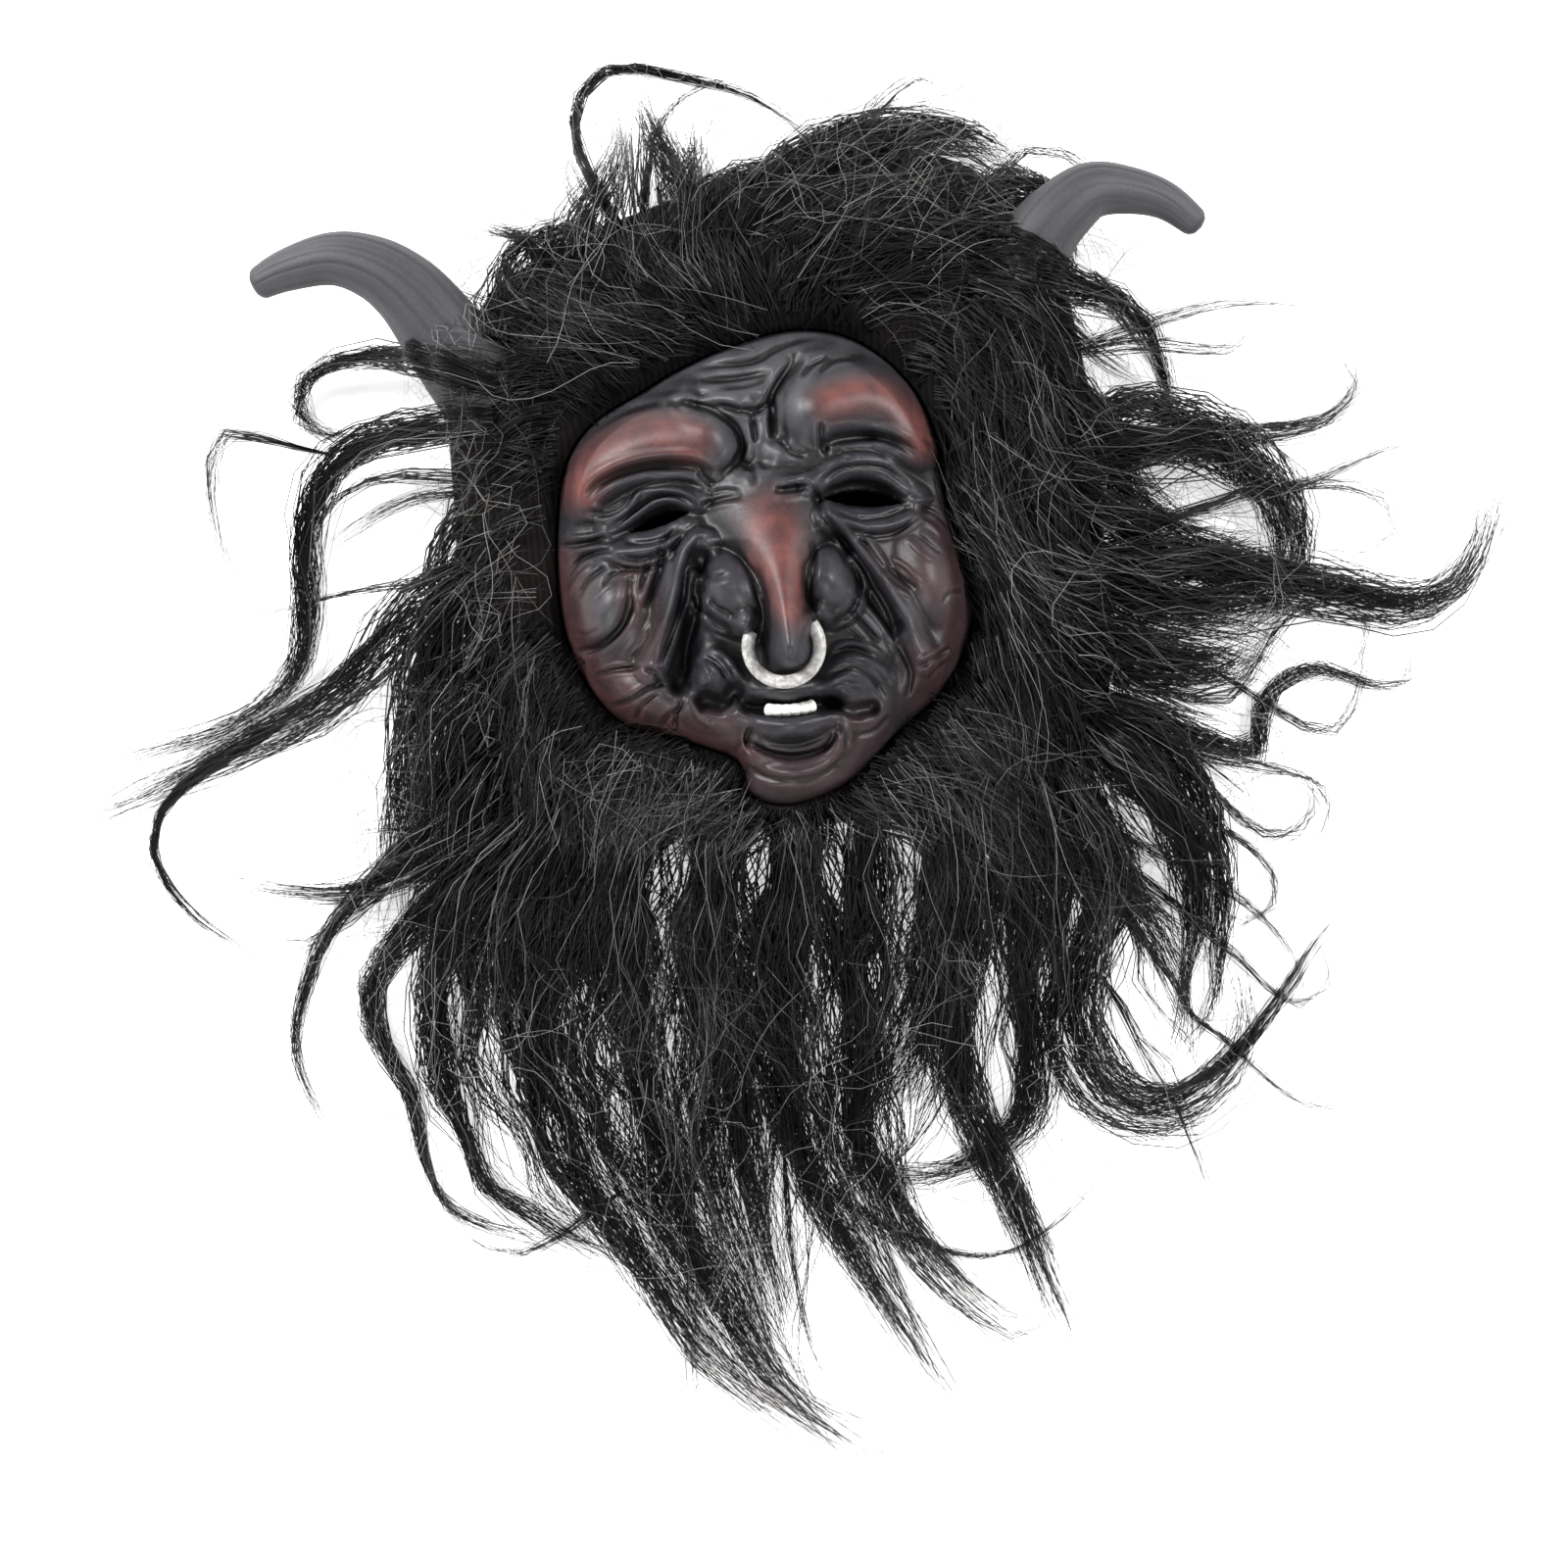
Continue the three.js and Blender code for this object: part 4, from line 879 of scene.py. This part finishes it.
def fur_top(x, y):
    """How high the fur lies: over the hood, then down its side and thin on the ground."""
    angle, radius = seen_from_face(x, y)
    near, far = face_radius(angle), hood_radius(angle)
    on_hood = np.interp((radius - near) / (far - near), [0, 0.15, 0.46, 0.76, 1], [75, 78, 72, 60, 40])
    past = radius - far
    beside_hood = np.interp(past, [0, 25, 70, 150, 250], [40, 30, 20, 15, 9])
    under_chin = np.interp(past, [-30, 0, 25, 60, 110, 200, 300], [78, 68, 58, 38, 24, 16, 9])
    below = below_chin(angle)
    return np.where(past < 0, on_hood, beside_hood) * (1 - below) + under_chin * below


def backing_top(x, y):
    """How high the knitted backing lies."""
    angle, radius = seen_from_face(x, y)
    near, far = face_radius(angle), hood_radius(angle)
    share = (radius - near) / (far - near)
    return np.interp(share, [0, 0.1, 0.26, 0.5, 0.74, 0.9, 0.95, 1], [68, 71, 69, 63, 51, 32, 14, 0])


def resampled(path, count):
    """Evenly spaced points along a path."""
    steps = np.concatenate([[0], np.cumsum(np.linalg.norm(np.diff(path, axis=0), axis=1))])
    at = np.linspace(0, steps[-1], count)
    return np.column_stack([np.interp(at, steps, column) for column in path.T])


lies = [resampled(curve_through(line, 8), 24) for line in LIES]
lie_places = np.vstack(lies)
lie_headings = np.vstack([np.gradient(line, axis=0) for line in lies])
lie_headings /= np.linalg.norm(lie_headings, axis=1)[:, None]


def combed(x, y):
    """The way the fur lies at each place, as an angle: that of the nearest lies, and a slow wave."""
    far = (x[:, None] - lie_places[:, 0]) ** 2 + (y[:, None] - lie_places[:, 1]) ** 2
    ahead = (1 / (far + 60) ** 2) @ lie_headings
    return np.arctan2(ahead[:, 1], ahead[:, 0]) + 0.22 * waves(x, y, 90, 3)


def parted(x, y):
    """Moves places out of the partings, towards their edges."""
    for (cx, cy), (rx, ry) in PARTINGS:
        away = np.hypot((x - cx) / rx, (y - cy) / ry)
        push = np.where(away < 1.2, (0.55 + 0.54 * away) / np.maximum(away, 0.1), 1)
        x, y = cx + (x - cx) * push, cy + (y - cy) * push
    return x, y


parting_places, parting_reaches = np.array(PARTINGS, float).transpose(1, 0, 2)
TRACE_STEP = 7


def trimmed(path, dice, crossing):
    """A path up to where it would run over a parting. A share of the fibres cross it."""
    dense = resampled(path[:, :2], 3 * len(path))
    ragged = 0.78 + 0.2 * waves(*dense.T, 13, 6)
    away = np.hypot(*((dense[:, None] - parting_places) / parting_reaches).transpose(2, 0, 1))
    over = (away < ragged[:, None]).any(1)
    if not over.any() or dice.random() < crossing:
        return path
    whole = int(over.argmax() / 3)
    return path[:whole] if whole >= 4 else None


def traced(x, y, turn, curl, period, limit, longest):
    """Paths that follow the lie of the fur from their roots to where they end or leave it."""
    paths = [[place] for place in zip(x, y)]
    going = np.ones(len(x), bool)
    for k in range(1, 50):
        here = combed(x, y) + turn + curl * np.sin(2 * math.pi * (TRACE_STEP * k / period + turn * 9))
        x, y = x + TRACE_STEP * np.cos(here), y + TRACE_STEP * np.sin(here)
        at, away = seen_from_face(x, y)
        going &= (away < limit * fur_radius(at)) & (away > face_radius(at) + 1) & (TRACE_STEP * k < longest)
        for i in np.nonzero(going)[0]:
            paths[i].append((x[i], y[i]))
    return [np.array(path) for path in paths]


def fringe(guide, count, spread, dice, thick, tip_spread, shortest, wild, spacing):
    """Fibres that follow one guide side by side: their flat paths, numbers of points, half thicknesses."""
    across = crosswise(guide)
    length = np.hypot(*np.diff(guide, axis=0).T).sum()
    along = np.linspace(0, 1, len(guide))
    fibres = []
    for _ in range(count):
        sway = wild * np.sin(2 * math.pi * (along * length / dice.uniform(60, 150) + dice.random()))
        width = spread * (1 - (1 - tip_spread) * along**2)
        offset = (dice.normal(0, 0.5) + sway + dice.normal(0, wild) * along**3) * width
        path = guide + across * offset[:, None]
        stop = dice.uniform(shortest, 1.0)
        path = path[: max(3, round(stop * len(guide)))]
        points = int(np.clip(round(length * stop / spacing) + 1, 4, 17))
        fibres.append((path, points, thick * dice.uniform(0.7, 1.2)))
    return fibres


def horn_top(x, y):
    """How high the horns' roots stand, and 0 beside them."""
    top = np.zeros(np.shape(x))
    for name, points in HORN_LINES.items():
        half = HORN_GIRTH[name] / 2
        for cx, cy, cz in curve_through(points, 6)[:9]:
            away = np.hypot(x - cx, y - cy) / (half + 1)
            top = np.maximum(top, np.where(away < 1, cz + half * np.sqrt(np.clip(1 - away**2, 0, 1)), 0))
    return top


def laid(path, count, share, lift=0.0):
    """Gives a flat path its height, as a share of the way from the backing up to the fur's top."""
    x, y = parted(*path.T)
    if np.hypot(x - path[:, 0], y - path[:, 1]).max() > 0.5:
        count = min(20, round(count * 1.6))
    path = resampled(np.column_stack([x, y]), count)
    x, y = path.T
    base = backing_top(x, y) + 0.6
    over = horn_top(x, y)
    high = base + (fur_top(x, y) - base) * share + lift
    high = np.where(over > 0, np.maximum(high, over + 0.6 + 3 * share), high)
    return np.column_stack([x, y, np.maximum(high, 1.0)])


turns = np.linspace(-math.pi, math.pi, 721)
spread_by = np.cumsum(fur_radius(turns) ** 2 - face_radius(turns) ** 2)


def rooted(count, dice, rim):
    """Roots on the hood, more where the fur reaches farther, and a share of them close to the face.
    The last value is how far it is from the root to the fur's end."""
    angle = np.interp(dice.random(count) * spread_by[-1], spread_by, turns)
    near, far = face_radius(angle), hood_radius(angle)
    share = np.where(dice.random(count) < rim, dice.uniform(0, 0.16, count), dice.uniform(0.1, 0.97, count))
    radius = near + 1.5 + share * (far - near)
    return (FACE_CENTRE[0] + radius * np.cos(angle), FACE_CENTRE[1] + radius * np.sin(angle),
            fur_radius(angle) - radius)


def guides(count, rim, turn, curl, period, limit, shortest, share):
    """Paths of the fur from its roots. share is how much of the room to the fur's end they take up."""
    x, y, room = rooted(count, fur_dice, rim)
    paths = traced(x, y, fur_dice.normal(0, turn, count), fur_dice.normal(0, curl, count),
                   fur_dice.uniform(60, period, count), fur_dice.normal(*limit, count),
                   np.maximum(shortest, room * fur_dice.uniform(*share, count)))
    return [path for path in paths if len(path) >= 5]


# Half thicknesses in mm. Real hairs are thinner, but it would take too many of them to cover the hood.
MASS_FIBRE, LOCK_FIBRE, THIN_LOCK_FIBRE, WISP_FIBRE, GLOSSY_HAIR = 0.42, 0.42, 0.32, 0.22, 0.13

# The mass of the fur: clumps of ten fibres that lie over each other
strands = []
for guide in guides(680, rim=0.3, turn=0.2, curl=0.3, period=150, limit=(0.98, 0.06), shortest=60,
                    share=(0.7, 1.4)):
    level = fur_dice.uniform(0, 0.9)
    for flat, count, thick in fringe(guide, 10, fur_dice.uniform(6, 11), fur_dice, MASS_FIBRE,
                                     tip_spread=0.4, shortest=0.7, wild=0.3, spacing=20):
        path = trimmed(laid(flat, count, level + fur_dice.uniform(0, 0.1)), fur_dice, 0.04)
        if path is not None:
            strands.append((path, thick, fur_dice.random()))

# Thin glossy hairs that lie on top in bands of eight and catch the light; the few light ones are painted
# glints
glints = []
for guide in guides(250, rim=0.1, turn=0.3, curl=0.4, period=140, limit=(0.99, 0.07), shortest=70,
                    share=(0.5, 1.2)):
    for flat, count, thick in fringe(guide, 8, fur_dice.uniform(7, 18), fur_dice, GLOSSY_HAIR,
                                     tip_spread=0.6, shortest=0.5, wild=0.25, spacing=15):
        path = trimmed(laid(flat, count, fur_dice.uniform(0.9, 1.02), fur_dice.uniform(0, 2)), fur_dice, 0.2)
        if path is not None:
            glints.append((path, thick, fur_dice.random() ** 5))

# The locks that stand out, by the way they lie from their roots to their tips: width, route
LOCKS = [
    # Left of the face
    (18, [(-108, 98), (-160, 122), (-196, 118), (-202, 102), (-186, 91), (-160, 95)]),
    (26, [(-112, 82), (-172, 82), (-200, 58), (-207, 15), (-217, -15), (-250, -33), (-312, -43)]),
    (26, [(-112, 30), (-160, 8), (-200, -22), (-250, -42), (-330, -70)]),
    (10, [(-226, -34), (-272, -56), (-291, -80), (-280, -110), (-250, -138)]),
    (18, [(-115, -80), (-195, -112), (-265, -102)]),
    (18, [(-115, -60), (-205, -115), (-235, -160), (-239, -190), (-225, -225)]),
    (24, [(-115, -80), (-190, -140), (-203, -170), (-190, -205), (-186, -240), (-165, -268), (-120, -284)]),
    (40, [(-110, -80), (-160, -150), (-165, -210), (-140, -262), (-95, -298)]),
    (40, [(-118, 24), (-146, 2), (-166, -40), (-180, -90), (-188, -135)]),
    (40, [(-120, -20), (-148, -50), (-164, -100), (-172, -150)]),
    (38, [(-124, -55), (-146, -95), (-158, -150), (-160, -200)]),
    (30, [(-116, 60), (-128, 40), (-142, 22), (-156, -10)]),
    # Below the chin
    (42, [(-96, -86), (-130, -160), (-125, -230), (-95, -290), (-65, -345), (-15, -392)]),
    (44, [(-70, -92), (-92, -170), (-85, -240), (-60, -310), (-35, -360), (5, -398)]),
    (38, [(-38, -96), (-50, -180), (-52, -250), (-42, -310), (-34, -345)]),
    (38, [(-4, -98), (-14, -180), (-16, -250), (8, -315), (40, -380)]),
    (34, [(32, -96), (22, -180), (14, -250), (30, -305), (68, -347), (81, -338)]),
    (38, [(64, -92), (58, -170), (58, -230), (76, -290), (88, -358)]),
    (36, [(90, -86), (94, -160), (86, -215), (80, -250), (40, -270), (0, -262)]),
    # Right of the face
    (36, [(108, -80), (128, -150), (112, -205), (122, -240), (152, -252), (186, -226), (182, -185)]),
    (10, [(140, -250), (176, -238), (205, -210), (222, -188), (240, -170)]),
    (34, [(118, -66), (162, -110), (174, -150), (168, -200), (150, -240)]),
    (15, [(120, -56), (185, -95), (208, -100), (211, -80), (235, -66), (262, -78), (281, -76), (280, -60),
        (262, -50)]),
    (36, [(122, -8), (200, -18), (245, -30), (285, -42), (312, -28), (330, 15)]),
    (42, [(122, 40), (190, 40), (222, 20), (232, -10), (218, -36), (190, -50)]),
    (14, [(122, 66), (200, 46), (250, 43), (272, 58), (266, 72), (248, 73)]),
    (24, [(120, 120), (168, 102), (184, 70), (186, 36)]),
    (38, [(118, 32), (150, 12), (184, -2), (222, -6)]),
    (38, [(120, -4), (160, -20), (200, -30), (236, -22)]),
    (36, [(126, 74), (148, 50), (164, 18), (196, 4)]),
    (34, [(130, -36), (160, -54), (190, -60), (214, -50)]),
    (36, [(130, -80), (156, -112), (172, -145), (176, -186)]),
    # Over the crown
    (30, [(-104, 118), (-92, 148), (-74, 165), (-52, 172)]),
    (36, [(-34, 150), (0, 174), (40, 184), (84, 194)]),
    (34, [(20, 150), (60, 178), (98, 186), (126, 172)]),
    (30, [(92, 140), (120, 158), (142, 150), (152, 122)]),
    (24, [(-70, 140), (-62, 168), (-48, 190), (-40, 214)]),
    (10, [(-44, 150), (-64, 200), (-60, 228), (-42, 241), (-10, 231), (20, 218), (52, 186)]),
    (22, [(-10, 150), (-28, 200), (-36, 229)]),
    (32, [(-10, 150), (30, 186), (70, 199), (110, 193), (134, 168)]),
    (18, [(-76, 134), (-92, 162), (-112, 174)]),
]
# Thin ones, with fewer fibres for their width
WISPS = [
    (9, [(-118, 55), (-160, 56), (-204, 38)]),
    (9, [(-190, 84), (-238, 100), (-246, 70), (-240, 35), (-222, 4)]),
    (8, [(-66, -240), (-72, -300), (-80, -340), (-78, -370), (-75, -396)]),
    (10, [(-40, -220), (-14, -266), (30, -300), (72, -308), (118, -276), (132, -250)]),
    (10, [(64, -250), (84, -300), (98, -336)]),
    (9, [(140, -80), (196, -102), (234, -118), (229, -142), (203, -137)]),
    (7, [(140, -170), (172, -220), (212, -262), (240, -250)]), (9, [(160, 124), (178, 92), (187, 60)]),
    (12, [(-120, -90), (-170, -124), (-217, -133)]), (10, [(-50, 160), (-66, 186), (-60, 205)]),
    (8, [(-40, 165), (-30, 205), (-8, 226), (22, 230)]), (9, [(60, 190), (90, 214), (106, 204)]),
    (8, [(120, 80), (210, 100), (250, 96), (258, 80)]), (9, [(180, 10), (240, 18), (292, 30), (300, 8)]),
    (8, [(-180, -110), (-232, -134), (-256, -118)]),
    (8, [(130, -120), (190, -160), (214, -200), (206, -236)]),
    (9, [(-120, 60), (-176, 66), (-204, 46), (-216, 10)]),
    (8, [(-110, 20), (-190, 22), (-236, 18), (-250, 30)]),
    (9, [(-100, -260), (-150, -284), (-186, -262)]), (8, [(190, -60), (240, -96), (262, -60), (246, -48)]),
    (8, [(124, -190), (148, -240), (160, -290), (168, -318)]),
    (9, [(-26, -240), (-28, -300), (-22, -350), (-4, -376)]),
    (8, [(8, -250), (24, -285), (50, -325), (68, -345)]),
    (7, [(64, -250), (78, -300), (90, -338), (92, -352), (86, -361), (80, -352)]),
    (8, [(110, 150), (128, 176), (160, 170), (166, 148), (146, 130)]),
    # Curls on the right
    (9, [(140, -84), (176, -108), (200, -134), (218, -138), (230, -124), (222, -112), (198, -112),
        (178, -124)]),
    (8, [(150, -60), (196, -74), (222, -44), (246, -34), (262, -46), (256, -66), (232, -72), (214, -60)]),
    (8, [(140, -110), (180, -128), (204, -150), (206, -168), (190, -176), (176, -160), (182, -140)]),
    (9, [(146, 0), (206, 14), (252, 16), (280, 4), (276, -14), (250, -14), (236, 0)]),
    (8, [(130, 84), (176, 84), (214, 78), (232, 92), (222, 106), (204, 98)]),
    (8, [(140, -140), (186, -190), (208, -214), (226, -206), (222, -186), (204, -186)]),
]
# A lock keeps its height for HOLD mm from its root and then comes down over FALL mm
HOLD, FALL = 22.0, 95.0
LOCK_POINTS = 48


def lock_fibres(width, route, per_mm, dice, thick, shortest, low=0.05, dark=1):
    """The fibres of one lock, gathered in twigs: their points, half thicknesses and tones.
    per_mm is how many there are for each mm of its width, and low how deep in the lock they may lie.
    dark makes the light ones among them rarer."""
    plan = curve_through(route, 10)
    length = np.hypot(*np.diff(plan, axis=0).T).sum()
    along = np.linspace(0, 1, LOCK_POINTS)
    plan = resampled(plan, LOCK_POINTS)
    root_angle, root_radius = seen_from_face(*plan[0])
    on_hood = root_radius < hood_radius(root_angle)
    chin = below_chin(root_angle)
    fullness = np.minimum(1, (0.35 if on_hood else 0.05) + 3 * along) * (1 - along**2.4) + 0.05
    fallen = np.clip((along * length - HOLD) / FALL, 0, 1)
    fallen = fallen**2 * (3 - 2 * fallen)
    across = crosswise(plan)
    made = []
    twigs = [(dice.normal(0, 0.30), dice.uniform(-0.45, 0.45)) for _ in range(max(2, round(width / 5)))]
    for _ in range(round(per_mm * width)):
        lane, tip_lane = twigs[dice.integers(len(twigs))]
        lane = lane + dice.normal(0, 0.16)
        sway = 0.13 * np.sin(2 * math.pi * (along * length / dice.uniform(40, 120) + dice.random()))
        drift = (1 - along) * lane + along * (tip_lane * 1.2 + dice.normal(0, 0.12)) + sway
        offset = width * fullness * drift
        offset += width * dice.normal(0, 0.16) * along**4
        level = dice.uniform(low, 1.0)
        raised = (36 + 20 * chin) * (1 - fallen) * on_hood * (0.75 + 0.25 * level)
        z = 0.5 * width * fullness * level + raised + 0.8
        stop = max(6, round(LOCK_POINTS * (1 - (1 - shortest) * dice.random() ** 0.8)))
        x, y = parted(*(plan + across * offset[:, None]).T)
        over = horn_top(x, y)
        path = np.column_stack([x, y, np.where(over > 0, np.maximum(z, over + 0.6 + 3 * level), z)])[:stop]
        count = int(np.clip(round(length * stop / LOCK_POINTS / 17) + 1, 5, 22))
        made.append((resampled(path, count), thick * dice.uniform(0.7, 1.2), dice.random() ** dark))
    return made


for width, route in LOCKS:
    # The glossy hairs stand a little outside the dull ones, and few of them are light with painted glints
    thick = THIN_LOCK_FIBRE if width < 30 else LOCK_FIBRE
    strands += lock_fibres(0.85 * width, route, 5.4, fur_dice, thick, shortest=0.62)
    glints += lock_fibres(width, route, 0.5, fur_dice, GLOSSY_HAIR, shortest=0.5, low=0.95, dark=4)
for width, route in WISPS:
    strands += lock_fibres(width, route, 2.4, fur_dice, WISP_FIBRE, shortest=0.6)

# Stray hairs that spring out of the mass, many of them light with painted glints
STRAYS = 950
angle = fur_dice.uniform(-math.pi, math.pi, STRAYS)
radius = face_radius(angle) + 4 + (fur_radius(angle) - face_radius(angle)) * fur_dice.random(STRAYS) ** 0.6
x, y = FACE_CENTRE[0] + radius * np.cos(angle), FACE_CENTRE[1] + radius * np.sin(angle)
for flat in traced(x, y, fur_dice.normal(0, 0.7, STRAYS), fur_dice.normal(0, 1.1, STRAYS),
                   fur_dice.uniform(50, 140, STRAYS), np.full(STRAYS, 1.18),
                   fur_dice.uniform(60, 150, STRAYS)):
    if len(flat) >= 5:
        top = fur_top(*flat.T) * fur_dice.uniform(0.8, 1.0) + fur_dice.uniform(1, 7)
        path = np.column_stack([flat, np.maximum(top, horn_top(*flat.T) + 1)])
        path = resampled(path, max(5, len(path) - 3))
        glints.append((path, fur_dice.uniform(0.10, 0.16), fur_dice.random() ** 1.5))

# Two kinds of fibre: dull black ones, and thin hairs with a gloss
fibre, tree, shader = material("black_modacrylic_fibre", {"Roughness": 0.42, "Specular IOR Level": 0.22})
# Dyed through, some fibres a little browner and lighter than others
tone_at = add(tree, "Attribute", attribute_name="tone").outputs["Fac"]
tree.links.new(blend(tree, tone_at, srgb("#040404"), srgb("#121111")), shader.inputs["Base Color"])

glossy, tree, shader = material("glossy_modacrylic_hair", {"Roughness": 0.28, "Specular IOR Level": 0.4})
# The thin hairs with a light tone are grey with painted glints, and the rest only glint
tone_at = add(tree, "Attribute", attribute_name="tone").outputs["Fac"]
tree.links.new(blend(tree, tone_at, srgb("#0a0a0b"), srgb("#9a9896")), shader.inputs["Base Color"])


def spun(name, strands, finish):
    """One mesh of many three-sided fibres, thinner towards their tips."""
    triangle = bpy.data.curves.new("fibre_section", "CURVE")
    triangle.dimensions = "2D"
    section = triangle.splines.new("POLY")
    section.points.add(2)
    for point, turn in zip(section.points, (90, 330, 210)):
        point.co = (MM * math.cos(math.radians(turn)), MM * math.sin(math.radians(turn)), 0, 1)
    section.use_cyclic_u = True
    template = bpy.data.objects.new("fibre_section", triangle)
    bundle = bpy.data.curves.new(name, "CURVE")
    bundle.dimensions = "3D"
    bundle.bevel_mode = "OBJECT"
    bundle.bevel_object = template
    bundle.use_fill_caps = True
    for points, thick, _ in strands:
        spline = bundle.splines.new("POLY")
        count = len(points)
        spline.points.add(count - 1)
        spline.points.foreach_set("co", np.column_stack([points * MM, np.ones(count)]).ravel())
        along = np.linspace(0, 1, count)
        spline.points.foreach_set("radius", thick * (1 - 0.75 * along**2))
    holder = bpy.data.objects.new(name, bundle)
    bpy.context.scene.collection.objects.link(holder)
    bpy.context.view_layer.update()
    mesh = bpy.data.meshes.new_from_object(holder.evaluated_get(bpy.context.evaluated_depsgraph_get()))
    mesh.name = name
    bpy.data.objects.remove(holder)
    bpy.data.objects.remove(template)
    # Blender makes the six corners of each fibre's ends first, from the last fibre to the first
    tone = np.array([tone for _, _, tone in strands])
    tones = np.concatenate([np.repeat(tone[::-1], 6), np.repeat(tone, [3 * len(p) for p, _, _ in strands])])
    layer = mesh.attributes.new("tone", "FLOAT", "POINT")
    layer.data.foreach_set("value", tones.astype(np.float32))
    bm = bmesh.new()
    bm.from_mesh(mesh)
    bmesh.ops.remove_doubles(bm, verts=bm.verts, dist=1e-6)
    bm.to_mesh(mesh)
    bm.free()
    mesh.materials.clear()
    mesh.materials.append(finish)
    piece = bpy.data.objects.new(name, mesh)
    bpy.context.scene.collection.objects.link(piece)
    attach(piece, "root")


# The fur is one piece. It is kept in bundles, by where each fibre has its middle.
bundles = {name: [] for name in (
    "fur_crown", "fur_left", "fur_right", "fur_beard_left", "fur_beard_right", "fur_tips")}
for strand in strands:
    x, y, _ = strand[0][len(strand[0]) // 2]
    if y > 60:
        bundles["fur_crown"].append(strand)
    elif y > -120:
        bundles["fur_left" if x < 0 else "fur_right"].append(strand)
    elif y > -215:
        bundles["fur_beard_left" if x < -30 else "fur_beard_right"].append(strand)
    else:
        bundles["fur_tips"].append(strand)
for name, fibres in bundles.items():
    spun(name, fibres, fibre)
spun("fur_glossy_hairs", glints, glossy)
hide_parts("fur_hood")

# The floor, the light and the camera
# A lit white sheet seen from straight above, with softboxes to the left, to the right and in front
sheet, _, _ = material("opal_light_table", {
    "Base Color": srgb("#f4f4f2"), "Roughness": 0.9,
    "Emission Color": (1, 1, 1, 1), "Emission Strength": 0.7})
bm = bmesh.new()
bmesh.ops.create_grid(bm, x_segments=1, y_segments=1, size=2.5)
floor_mesh = bpy.data.meshes.new("floor")
bm.to_mesh(floor_mesh)
bm.free()
floor_mesh.materials.append(sheet)
floor = bpy.data.objects.new("floor", floor_mesh)
bpy.context.scene.collection.objects.link(floor)

world = bpy.data.worlds.new("studio")
world.use_nodes = True
world.node_tree.nodes["Background"].inputs["Color"].default_value = (1, 1, 1, 1)
world.node_tree.nodes["Background"].inputs["Strength"].default_value = 0.25
bpy.context.scene.world = world


def softbox(name, place, aim, size, power):
    """A square softbox that faces a point, both in metres."""
    data = bpy.data.lights.new(name, "AREA")
    data.size = size
    data.energy = power
    light = bpy.data.objects.new(name, data)
    light.location = place
    light.rotation_euler = (Vector(aim) - Vector(place)).to_track_quat("-Z", "Y").to_euler()
    bpy.context.scene.collection.objects.link(light)


softbox("key", (-1.3, 1.1, 1.3), (0, 0, 0), 0.6, 70)
softbox("fill", (1.5, 0.4, 1.3), (0, 0, 0), 0.8, 45)
softbox("front", (-0.3, -1.6, 1.3), (0, -0.1, 0), 0.8, 26)

CAMERA_HEIGHT = 1.6
VIEW_WIDTH = 0.705  # of the floor
camera_data = bpy.data.cameras.new("camera")
camera_data.sensor_width = 36
camera_data.lens = 36 * CAMERA_HEIGHT / VIEW_WIDTH
camera = bpy.data.objects.new("camera", camera_data)
camera.location = (-0.0066, -0.088, CAMERA_HEIGHT)
camera.rotation_euler = (0, 0, math.radians(-7))
bpy.context.scene.collection.objects.link(camera)
bpy.context.scene.camera = camera
bpy.context.scene.view_settings.view_transform = "Standard"
